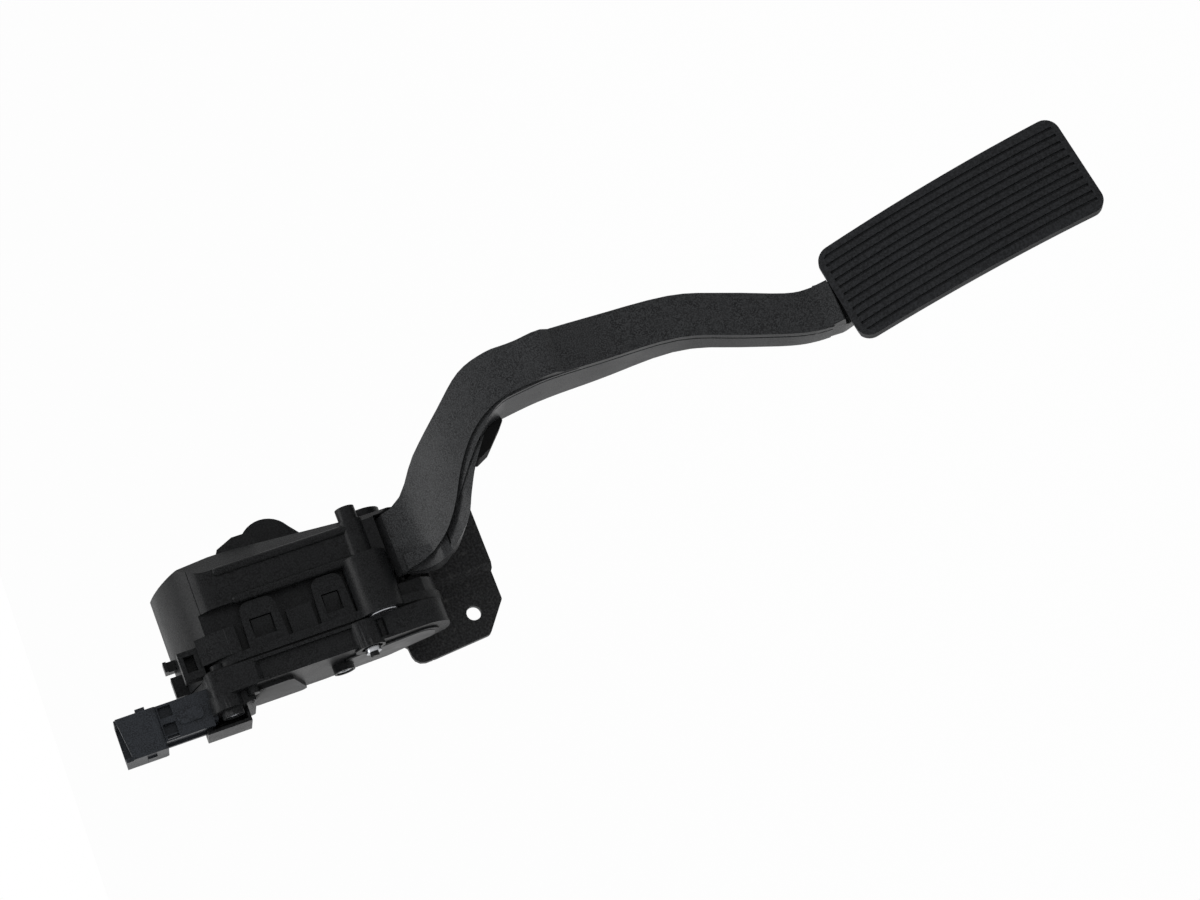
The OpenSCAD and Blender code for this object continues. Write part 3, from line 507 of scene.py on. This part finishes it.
# The left edge of the side that swells out behind the skin, as (X, Z), and what closes its outline inside the
# arm. The outline is then turned about Z, in degrees.
SIDE_EDGE = (
    (13, 2), (17.5, -1.4), (21.5, -4), (27.2, -7.1), (31.5, -10.5), (34, -13.7), (36.5, -18.1),
    (39.7, -22.7), (42, -27.6), (46, -37),
)
SIDE_CLOSING = [(52, -30), (48, -12), (38, 0), (24, 6), (14, 7)]
SIDE_TURN = 16.5

# The front's last points lie below the ridge, where nothing swells out.
POINTS_BELOW_RIDGE = 2

# Spans that hold the whole bend of the arm.
BEND_SPAN_X = (0, 100)
BEND_SPAN_Y = (-120, 0)

# The lip of the arm above the pad, as (Y, Z), its span along X, and the gap that it leaves to the pad.
PAD_LIP = [(-95, -163), (-99.1, -169.5), (-102.8, -175.6), (-102.4, -176.3), (-95, -178.8)]
PAD_LIP_SPAN = (46.1, 65.5)
PAD_LIP_GAP = 0.35
PAD_LIP_DEPTHS = (-2, 8)

# Where the pad's middle is in the frame, in metres, and how the pad leans and turns.
PAD_PLACE = (
    Matrix.Translation((0.0629, -0.1275, -0.2306))
    @ Matrix.Rotation(math.radians(-18), 4, "X")
    @ Matrix.Rotation(math.radians(-7), 4, "Y")
)

# The pad: its radius along its length, its length, its widths at both ends, and its grooves. PAD_BENDS is the
# number of cuts that let a straight bar bend.
PAD_CURVE = 300.0
PAD_LENGTH = 118.3
PAD_TOP = 43.6
PAD_LOW = 47.25
PAD_CORNER = 6.5
PAD_THICKNESS = 6
PAD_BENDS = 47
GROOVES = 11
GROOVE_WIDTH = 1.2
GROOVE_DEPTH = 1
GROOVE_MARGIN = 3
GROOVE_END = 5
GROOVE_INSET = 2

# Heights of the two studs on the pad, and the radius, start and end of a stud's neck and of its head.
STUD_HEIGHTS = (-36, 8)
STUD_NECK = (3, 4, 14.5)
STUD_HEAD = (4.6, 12.7, 14.7)

# The bent slab is wider and longer than the pad, and the outline deeper, so that it cuts the slab all round.
SLAB_WIDTH = 60
SLAB_MARGIN = 2
LIP_SLAB_MARGIN = 6
OUTLINE_FRONT = -20
OUTLINE_DEPTH = 60

# Corners that are cut away from the top of the housing and of the post beside it, as (Y, Z).
HOUSING_CORNER = [
    (-47, 105), (-45, 107), (-44.8, 109.4), (-44.2, 111.4), (-43.2, 113.1), (-41.4, 115.2), (-41, 120),
    (-47, 120),
]
HOUSING_CORNER_SPAN = (5, 60)
POST_CORNER = [
    (-47, 107), (-44.9, 109), (-44.6, 111.4), (-43.9, 114), (-42.9, 116.6), (-41.6, 119.4), (-40.6, 122.6),
    (-47, 123),
]
POST_CORNER_SPAN = (7.9, 25)

# The long recess in the cover's front, as (Y, Z).
COVER_RECESS = [(-46, 44.5), (-43, 45.5), (-43, 99.5), (-46, 103)]
COVER_RECESS_SPAN = (-5.8, 2.2)

# Rounds on the cover, along X: radius, start, end, Y and Z. The last one is the long boss of the upper screw.
COVER_ROUNDS = (
    (6.8, -12.8, -6, -38.4, 117.2),
    (6.6, -8, 3.5, -40.6, 53.6),
    (2.6, -10, -6, -40.5, 105.4),
    (3.2, -8, 6.8, -39, 116),
)

# Where the heads of the cover screws sit: X, Y and Z. Each has a rim round its head and a hole for its shank.
SCREW_SEATS = ((-13, -39, 116), (-8, -41.5, 53), (-8, -26, 65.2))
RIM_RADIUS = 4.6
RIM_HEIGHT = 2.7
RIM_FOOT = 1
HEAD_RADIUS = 3.6
SHANK_RADIUS = 1.9
CUT_ABOVE_SEAT = 4
SHANK_END = 10

# The full round corner of the bracket's lobe, as (X, Z), and the span of its plate along Y.
LOBE_CORNER = [
    (-13.5, 24.3), (-13.6, 27.5), (-12.9, 29.9), (-11.3, 31.6), (-9.2, 32.4), (-4.2, 32.9), (-5, 28),
    (-10, 24.3),
]
PLATE_SPAN = (-3, 0)

# The recesses in front of the connector's hood: what is filled first and what is cut then, as spans along X.
RECESS_FILLS = ((-8.9, -4), (-14.1, -12))
RECESS_CUTS = ((-6.3, -1.5), (-13.6, -8.9))
FILL_BASE = 138.5
CUT_BASE = 139
RECESS_TOP = 144.5
FILL_SPAN_Y = (-37, -33)
CUT_SPAN_Y = (-38, -34)

# The slanted mouth in the hood's front wall, and the strip that closes the neck's left side, as (X, Z).
HOOD_MOUTH = [(4, 163.7), (-20, 163.7), (-20, 159.6), (4, 162.5)]
HOOD_MOUTH_SPAN = (-40, -36.15)
NECK_SIDE = [(-14.9, 127), (-14, 127), (-14, 145.5), (-14.9, 145.5)]
NECK_SIDE_SPAN = (-35.5, -24.5)


def bent_bars(middles, width, front, back, length):
    """Bars along the pad, side by side at the given middles, bent to the pad's curve."""
    shape = bmesh.new()
    for middle in middles:
        scale = Matrix.Diagonal((width, back - front, length, 1))
        place = Matrix.Translation((middle, (front + back) / 2, 0)) @ scale
        bmesh.ops.create_cube(shape, size=1.0, matrix=place)
    long_edges = [e for e in shape.edges if abs(e.verts[0].co.z - e.verts[1].co.z) > length / 2]
    bmesh.ops.subdivide_edges(shape, edges=long_edges, cuts=PAD_BENDS, use_grid_fill=True)
    for vert in shape.verts:
        angle = vert.co.z / PAD_CURVE
        radius = PAD_CURVE - vert.co.y
        vert.co.y = PAD_CURVE - radius * math.cos(angle)
        vert.co.z = radius * math.sin(angle)
    return closed_mesh(shape)


def pad_outline(inset):
    """An upright prism with the pad's rounded outline."""
    half, top, low = (size / 2 - inset for size in (PAD_LENGTH, PAD_TOP, PAD_LOW))
    shape = bmesh.new()
    corners = ((-top, half), (top, half), (low, -half), (-low, -half))
    base = shape.faces.new([shape.verts.new((x, OUTLINE_FRONT, z)) for x, z in corners])
    made = bmesh.ops.extrude_face_region(shape, geom=[base])["geom"]
    bmesh.ops.translate(shape, verts=only_verts(made), vec=(0, OUTLINE_DEPTH, 0))
    upright = [e for e in shape.edges if abs(e.verts[0].co.y - e.verts[1].co.y) > OUTLINE_DEPTH / 2]
    bmesh.ops.bevel(
        shape,
        geom=upright,
        affect="EDGES",
        offset_type="OFFSET",
        offset=PAD_CORNER - inset / 2,
        segments=8,
        profile=0.5,
        material=-1,
    )
    return closed_mesh(shape)


def pad_slab(inset, front, back):
    """A slab between two depths of the pad, in its place."""
    bar = bent_bars([0], SLAB_WIDTH, front, back, PAD_LENGTH + LIP_SLAB_MARGIN)
    slab = carved(bar, ("INTERSECT", pad_outline(inset)))
    slab.transform(PAD_PLACE)
    return slab


def pad_form():
    """The pad: a slab bent along its length, with grooves in its face and two studs behind it."""
    pitch = (PAD_TOP - GROOVE_MARGIN) / GROOVES
    middles = [(i - (GROOVES - 1) / 2) * pitch for i in range(GROOVES)]
    bars = bent_bars(middles, GROOVE_WIDTH, -GROOVE_DEPTH, GROOVE_DEPTH, PAD_LENGTH - GROOVE_END)
    grooves = carved(bars, ("INTERSECT", pad_outline(GROOVE_INSET)))
    steps = [("INTERSECT", pad_outline(0)), ("DIFFERENCE", grooves)]
    for height in STUD_HEIGHTS:
        place = Matrix.Translation((0, 0, height * MILLIMETRE)) @ Matrix.Rotation(math.radians(90), 4, "Z")
        for radius, start, end in (STUD_NECK, STUD_HEAD):
            stud = rod(radius, start, end, 0, 0)
            stud.transform(place)
            steps.append(("UNION", stud))
    pad = carved(bent_bars([0], SLAB_WIDTH, 0, PAD_THICKNESS, PAD_LENGTH + SLAB_MARGIN), *steps)
    pad.transform(PAD_PLACE)
    return pad


def arm_form():
    """The arm, whose side swells out behind the thin front skin through the bend."""
    front = smooth_row(ARM_FRONT)
    behind = beside(front, SKIN_THICKNESS)
    skin = prism(beside(front, -SKIN_MARGIN) + behind[::-1], "x", *BEND_SPAN_X)
    left = prism(smooth_row(SKIN_EDGE) + SKIN_CLOSING, "y", *BEND_SPAN_Y)
    cut = carved(left, ("INTERSECT", skin))
    upper = behind[: -POINTS_BELOW_RIDGE * CURVE_STEPS]
    inside = prism(upper + smooth_row(ARM_BACK), "x", *BEND_SPAN_X)
    side = prism(smooth_row(SIDE_EDGE) + SIDE_CLOSING, "y", *BEND_SPAN_Y, SIDE_TURN)
    swell = carved(side, ("INTERSECT", inside))
    gap = pad_slab(-PAD_LIP_GAP, *PAD_LIP_DEPTHS)
    lip = carved(prism(PAD_LIP, "x", *PAD_LIP_SPAN), ("DIFFERENCE", gap))
    return carved(joined_copy("pedal_arm"), ("DIFFERENCE", cut), ("UNION", swell), ("UNION", lip))


def housing_form():
    """The housing, with its end wall rounded into its front face."""
    corner = prism(HOUSING_CORNER, "x", *HOUSING_CORNER_SPAN)
    return carved(joined_copy("housing"), ("DIFFERENCE", corner))


def latch_form():
    """The latch plate, whose post leans back over the rounded end of the housing."""
    corner = prism(POST_CORNER, "x", *POST_CORNER_SPAN)
    return carved(joined_copy("latch_plate"), ("DIFFERENCE", corner))


def cover_form():
    """The sensor cover, with its long recess in front, broad rounds and rimmed screw seats."""
    steps = [("DIFFERENCE", prism(COVER_RECESS, "x", *COVER_RECESS_SPAN))]
    for size in COVER_ROUNDS:
        steps.append(("UNION", rod(*size)))
    for seat, y, z in SCREW_SEATS:
        steps.append(("UNION", rod(RIM_RADIUS, seat - RIM_HEIGHT, seat + RIM_FOOT, y, z)))
        steps.append(("DIFFERENCE", rod(HEAD_RADIUS, seat - CUT_ABOVE_SEAT, seat, y, z)))
        steps.append(("DIFFERENCE", rod(SHANK_RADIUS, seat - CUT_ABOVE_SEAT, SHANK_END, y, z)))
    return carved(joined_copy("sensor_cover"), *steps)


def bracket_form():
    """The bracket plate, with the full round corner of its lobe."""
    return carved(joined_copy("mounting_bracket"), ("UNION", prism(LOBE_CORNER, "y", *PLATE_SPAN)))


def recess_block(left, right, base, depths):
    """A block in front of the hood, below the recesses' common top."""
    outline = [(left, base), (right, base), (right, RECESS_TOP), (left, RECESS_TOP)]
    return prism(outline, "y", *depths)


def connector_form():
    """The connector, with a slanted mouth, a closed neck and two recesses side by side below the hood."""
    steps = [
        ("DIFFERENCE", prism(HOOD_MOUTH, "y", *HOOD_MOUTH_SPAN)),
        ("UNION", prism(NECK_SIDE, "y", *NECK_SIDE_SPAN)),
    ]
    steps += [("UNION", recess_block(*span, FILL_BASE, FILL_SPAN_Y)) for span in RECESS_FILLS]
    steps += [("DIFFERENCE", recess_block(*span, CUT_BASE, CUT_SPAN_Y)) for span in RECESS_CUTS]
    return carved(joined_copy("connector_shell"), *steps)


def finish_node(node, material):
    """Gives a node of the part its finish and keeps its shape."""
    mesh = frame["nodes"][node].data
    mesh.materials.clear()
    mesh.materials.append(material)


# What a user would change


class PedalSizes(bpy.types.PropertyGroup):
    edge_rounding: FloatProperty(
        name="Edge rounding",
        description="Radius-like width of the rounded edges of the moulded pieces",
        default=0.35 * MILLIMETRE,
        min=0.05 * MILLIMETRE,
        max=1.5 * MILLIMETRE,
        precision=5,
        unit="LENGTH",
    )
    plate_rounding: FloatProperty(
        name="Plate rounding",
        description="Width of the rounded edges of the pressed bracket",
        default=0.4 * MILLIMETRE,
        min=0.05 * MILLIMETRE,
        max=1.2 * MILLIMETRE,
        precision=5,
        unit="LENGTH",
    )
    pad_rounding: FloatProperty(
        name="Pad rounding",
        description="Width of the rounded edges of the pad and its grooves",
        default=0.25 * MILLIMETRE,
        min=0.05 * MILLIMETRE,
        max=0.45 * MILLIMETRE,
        precision=5,
        unit="LENGTH",
    )
    plastic_grain: FloatProperty(
        name="Plastic grain",
        description="Size of the grains on the moulded plastic",
        default=0.8 * MILLIMETRE,
        min=0.1 * MILLIMETRE,
        max=3 * MILLIMETRE,
        precision=5,
        unit="LENGTH",
    )
    arm_grain: FloatProperty(
        name="Arm grain",
        description="Size of the coarser grains on the pedal arm",
        default=0.75 * MILLIMETRE,
        min=0.1 * MILLIMETRE,
        max=3 * MILLIMETRE,
        precision=5,
        unit="LENGTH",
    )
    floor_drop: FloatProperty(
        name="Floor drop",
        description="Depth of the floor below the lower bolt hole",
        default=0.40,
        min=0.30,
        max=1.0,
        unit="LENGTH",
    )
    floor_side: FloatProperty(
        name="Floor side",
        description="Length of the floor's sides",
        default=200.0,
        min=2.0,
        max=400.0,
        unit="LENGTH",
    )


def colour_setting(name, description, default):
    """One of the colours."""
    return FloatVectorProperty(
        name=name, description=description, default=default, size=3, min=0.0, max=1.0, subtype="COLOR"
    )


class PedalColours(bpy.types.PropertyGroup):
    housing: colour_setting("Housing", "Black plastic of housing and cover", (0.0100, 0.0104, 0.0110))
    arm: colour_setting("Arm", "Dark grey plastic of the pedal arm", (0.0330, 0.0340, 0.0355))
    pad: colour_setting("Pad", "Rubber of the pad", (0.0140, 0.0147, 0.0162))
    bracket: colour_setting("Bracket", "Coat on the pressed bracket", (0.0210, 0.0214, 0.0222))
    connector: colour_setting("Connector", "Blue-black plastic of the connector", (0.0250, 0.0280, 0.0330))
    seals: colour_setting("Seals", "Rubber of gasket, seal, stops and buffer", (0.0075, 0.0075, 0.0078))
    label: colour_setting("Label", "Film of the bare label", (0.050, 0.051, 0.053))
    steel: colour_setting("Steel", "Zinc-plated steel of screws and washer", (0.42, 0.43, 0.45))
    brass: colour_setting("Brass", "Brass of the contacts and the threaded insert", (0.60, 0.44, 0.20))


def sizes():
    """The sizes that a user may change."""
    return bpy.context.scene.pedal_sizes


def colours():
    """The colours that a user may change."""
    return bpy.context.scene.pedal_colours


# Operators


class FinishBracket(bpy.types.Operator):
    """Finishes the pressed bracket plate"""

    bl_idname = "pedal.finish_bracket"
    bl_label = "Bracket"

    def execute(self, context):
        coat = coated_steel("bracket_coat", colours().bracket)
        rounding = sizes().plate_rounding
        finish_piece("mounting_bracket", "fixed", coat, rounding, bracket_form())
        return {"FINISHED"}


class FinishHousing(bpy.types.Operator):
    """Finishes the housing and the latch plate on its left side"""

    bl_idname = "pedal.finish_housing"
    bl_label = "Housing and latch plate"

    def execute(self, context):
        grain, rounding = sizes().plastic_grain, sizes().edge_rounding
        plastic = moulded_plastic("housing_plastic", colours().housing, grain, sheen=0.36)
        finish_piece("housing", "fixed", plastic, rounding, housing_form())
        latch = moulded_plastic("latch_plastic", tone(colours().housing, 1.1), grain, sheen=0.4)
        finish_piece("latch_plate", "fixed", latch, rounding, latch_form())
        return {"FINISHED"}


class FinishCover(bpy.types.Operator):
    """Finishes the sensor cover with its gasket and its bare label"""

    bl_idname = "pedal.finish_cover"
    bl_label = "Sensor cover"

    def execute(self, context):
        grain, rounding = sizes().plastic_grain, sizes().edge_rounding
        # Painted light: the cover takes the housing's black plastic made 1.25 times lighter, which stands in
        # for the highlights and the extra light that the cover's front and left side catch.
        plastic = moulded_plastic("cover_plastic", tone(colours().housing, 1.25), grain, sheen=0.38)
        finish_piece("sensor_cover", "fixed", plastic, rounding, cover_form())
        finish_node("cover_gasket", seal_rubber("gasket_rubber", colours().seals))
        finish_node("blank_label", label_film("label_film", colours().label))
        return {"FINISHED"}


class FinishConnector(bpy.types.Operator):
    """Finishes the connector's neck and hood, and its contacts"""

    bl_idname = "pedal.finish_connector"
    bl_label = "Connector"

    def execute(self, context):
        plastic = moulded_plastic(
            "connector_plastic",
            colours().connector,
            sizes().plastic_grain,
            sheen=0.4,
            specular=0.12,
            depth=0.00002,
            contrast=0.6,
            rub_tone=1.4,
        )
        rounding = sizes().edge_rounding
        finish_piece("connector_shell", "fixed", plastic, rounding, connector_form())
        finish_node("connector_pins", plain_steel("contact_brass", colours().brass, 0.3))
        return {"FINISHED"}


class FinishFasteners(bpy.types.Operator):
    """Finishes the screws, the bolt, its washer and the threaded insert"""

    bl_idname = "pedal.finish_fasteners"
    bl_label = "Screws, bolt and washer"

    def execute(self, context):
        steel = plain_steel("zinc_plated_steel", colours().steel, 0.28)
        for node in ("cover_screws", "bolt_washer"):
            finish_piece(node, "fixed", steel, SCREW_ROUNDING)
        for node in ("through_bolt", "bracket_screws"):
            finish_node(node, steel)
        finish_node("ear_insert", plain_steel("insert_brass", colours().brass, 0.34))
        return {"FINISHED"}


class FinishMechanism(bpy.types.Operator):
    """Finishes the shaft, bushes, springs, stops and sensor parts inside the housing"""

    bl_idname = "pedal.finish_mechanism"
    bl_label = "Inner mechanism"

    def execute(self, context):
        bearing = moulded_plastic(
            "bearing_plastic",
            (0.56, 0.53, 0.45),
            sizes().plastic_grain,
            sheen=0.4,
            specular=0.4,
            depth=0.00001,
            contrast=0.06,
            rub_tone=1.05,
        )
        for node in ("bush_left", "bush_right", "spring_seat", "spring_follower", "friction_shoe"):
            finish_node(node, bearing)
        rubber = seal_rubber("stop_rubber", colours().seals)
        for node in ("shaft_seal", "idle_stop", "full_stop"):
            finish_node(node, rubber)
        springs = plain_steel("spring_steel", tone(colours().steel, 0.55), 0.36, (0.2, 1, 1))
        for node in ("return_spring_outer", "return_spring_inner"):
            finish_node(node, springs)
        finish_node("pivot_shaft", plain_steel("ground_steel", colours().steel, 0.22, (0.1, 1, 1)))
        rotor = moulded_plastic("rotor_plastic", (0.03, 0.032, 0.034), 0.5 * MILLIMETRE, sheen=0.45)
        finish_node("sensor_rotor", rotor)
        finish_node("rotor_magnet", plain_steel("magnet_metal", (0.18, 0.18, 0.19), 0.45))
        lacquer = moulded_plastic(
            "board_lacquer", (0.012, 0.075, 0.028), 0.4 * MILLIMETRE, sheen=0.3, specular=0.5
        )
        finish_node("circuit_board", lacquer)
        resin = moulded_plastic("chip_resin", (0.012, 0.012, 0.013), 0.2 * MILLIMETRE, sheen=0.5)
        finish_node("sensor_chip", resin)
        return {"FINISHED"}


class FinishArm(bpy.types.Operator):
    """Finishes the pedal arm and the rubber buffer on its back edge"""

    bl_idname = "pedal.finish_arm"
    bl_label = "Pedal arm"

    def execute(self, context):
        plastic = moulded_plastic(
            "arm_plastic",
            colours().arm,
            sizes().arm_grain,
            sheen=0.33,
            specular=0.07,
            depth=0.00005,
            contrast=0.7,
            rub_tone=1.3,
        )
        finish_piece("pedal_arm", "pedal", plastic, sizes().edge_rounding, arm_form())
        rubber = seal_rubber("buffer_rubber", colours().seals)
        finish_piece("stop_buffer", "pedal", rubber, sizes().edge_rounding)
        return {"FINISHED"}


class FinishPad(bpy.types.Operator):
    """Finishes the grooved rubber pad"""

    bl_idname = "pedal.finish_pad"
    bl_label = "Pedal pad"

    def execute(self, context):
        rubber = pad_rubber("pad_rubber", colours().pad, 0.6 * MILLIMETRE)
        rounding = sizes().pad_rounding
        finish_piece("pedal_pad", "pedal", rubber, rounding, pad_form(), PAD_FLAT_ANGLE)
        return {"FINISHED"}


class SetStage(bpy.types.Operator):
    """Sets the camera, the lamps, the pale floor and the world"""

    bl_idname = "pedal.set_stage"
    bl_label = "Camera, light and floor"

    def execute(self, context):
        scene = context.scene
        self.set_camera(scene)
        self.set_floor()
        self.set_world(scene)
        self.set_lamp(scene)
        scene.view_settings.view_transform = "Standard"
        return {"FINISHED"}

    def set_lamp(self, scene):
        """A square softbox, turned to its target."""
        light = bpy.data.lights.new("key_softbox", "AREA")
        light.shape = "SQUARE"
        light.size = LAMP_SIDE
        light.energy = LAMP_POWER
        holder = bpy.data.objects.new("key_softbox", light)
        scene.collection.objects.link(holder)
        holder.location = LAMP_PLACE
        holder.rotation_mode = "QUATERNION"
        holder.rotation_quaternion = (Vector(LAMP_TARGET) - Vector(LAMP_PLACE)).to_track_quat("-Z", "Y")

    def set_camera(self, scene):
        """The camera of the photo."""
        camera = bpy.data.cameras.new("photo_camera")
        camera.sensor_width = SENSOR
        camera.lens = LENS
        camera.clip_start = 0.05
        camera.clip_end = 600.0
        holder = bpy.data.objects.new("photo_camera", camera)
        scene.collection.objects.link(holder)
        right = Vector(PICTURE_RIGHT).normalized()
        down = Vector(PICTURE_DOWN)
        down = (down - down.dot(right) * right).normalized()
        turn = Matrix((right, -down, -right.cross(down))).transposed()
        holder.matrix_world = Matrix.Translation(CAMERA_PLACE) @ turn.to_4x4()
        scene.camera = holder

    def set_floor(self):
        """A wide flat floor below the pedal."""
        shape = bmesh.new()
        bmesh.ops.create_grid(shape, x_segments=1, y_segments=1, size=sizes().floor_side / 2)
        bmesh.ops.translate(shape, verts=shape.verts, vec=(0.0, 0.0, -sizes().floor_drop))
        mesh = bpy.data.meshes.new("floor")
        shape.to_mesh(mesh)
        shape.free()
        floor = bpy.data.objects.new("floor", mesh)
        bpy.context.scene.collection.objects.link(floor)
        mesh.materials.append(self.floor_material())

    def floor_material(self):
        """White where it is seen, and it still takes the object's shadow."""
        finish = Finish("floor_white", Base_Color=FLOOR_COLOUR, Roughness=0.9, Specular_IOR_Level=0.0)
        shine = finish.add("ShaderNodeEmission", inputs={"Color": WHITE, "Strength": 1.0})
        share = finish.seen_directly() * FLOOR_SHINE
        mix = finish.add(
            "ShaderNodeMixShader",
            inputs={0: share, 1: Wire(finish.tree, finish.shader.outputs[0]), 2: shine},
        )
        finish.tree.links.new(mix.socket, finish.tree.nodes["Material Output"].inputs["Surface"])
        return finish.material

    def set_world(self, scene):
        """A pale room: white where it is seen, and dimmer as a light."""
        world = bpy.data.worlds.new("pale_room")
        scene.world = world
        world.use_nodes = True
        nodes = Nodes(world.node_tree)
        backdrop = nodes.tree.nodes["Background"]
        backdrop.inputs["Color"].default_value = WHITE
        strength = nodes.seen_directly() * (1 - ROOM_LIGHT) + ROOM_LIGHT
        nodes.tree.links.new(strength.socket, backdrop.inputs["Strength"])


class PedalPanel(bpy.types.Panel):
    """Lists the pieces of the pedal and their settings"""

    bl_idname = "VIEW3D_PT_pedal"
    bl_label = "Accelerator pedal"
    bl_space_type = "VIEW_3D"
    bl_region_type = "UI"
    bl_category = "Pedal"

    def draw(self, context):
        for operator in STEPS:
            self.layout.operator(operator.bl_idname)
        for group in (context.scene.pedal_sizes, context.scene.pedal_colours):
            box = self.layout.box()
            for setting in group.__annotations__:
                box.prop(group, setting)


STEPS = (
    SetStage,
    FinishBracket,
    FinishHousing,
    FinishCover,
    FinishConnector,
    FinishFasteners,
    FinishMechanism,
    FinishArm,
    FinishPad,
)
CLASSES = (PedalSizes, PedalColours, *STEPS, PedalPanel)


def register():
    for item in CLASSES:
        bpy.utils.register_class(item)
    bpy.types.Scene.pedal_sizes = PointerProperty(type=PedalSizes)
    bpy.types.Scene.pedal_colours = PointerProperty(type=PedalColours)


def unregister():
    del bpy.types.Scene.pedal_colours
    del bpy.types.Scene.pedal_sizes
    for item in reversed(CLASSES):
        bpy.utils.unregister_class(item)


def main():
    register()
    for step in STEPS:
        family, name = step.bl_idname.split(".")
        getattr(getattr(bpy.ops, family), name)()


if __name__ == "__main__":
    main()
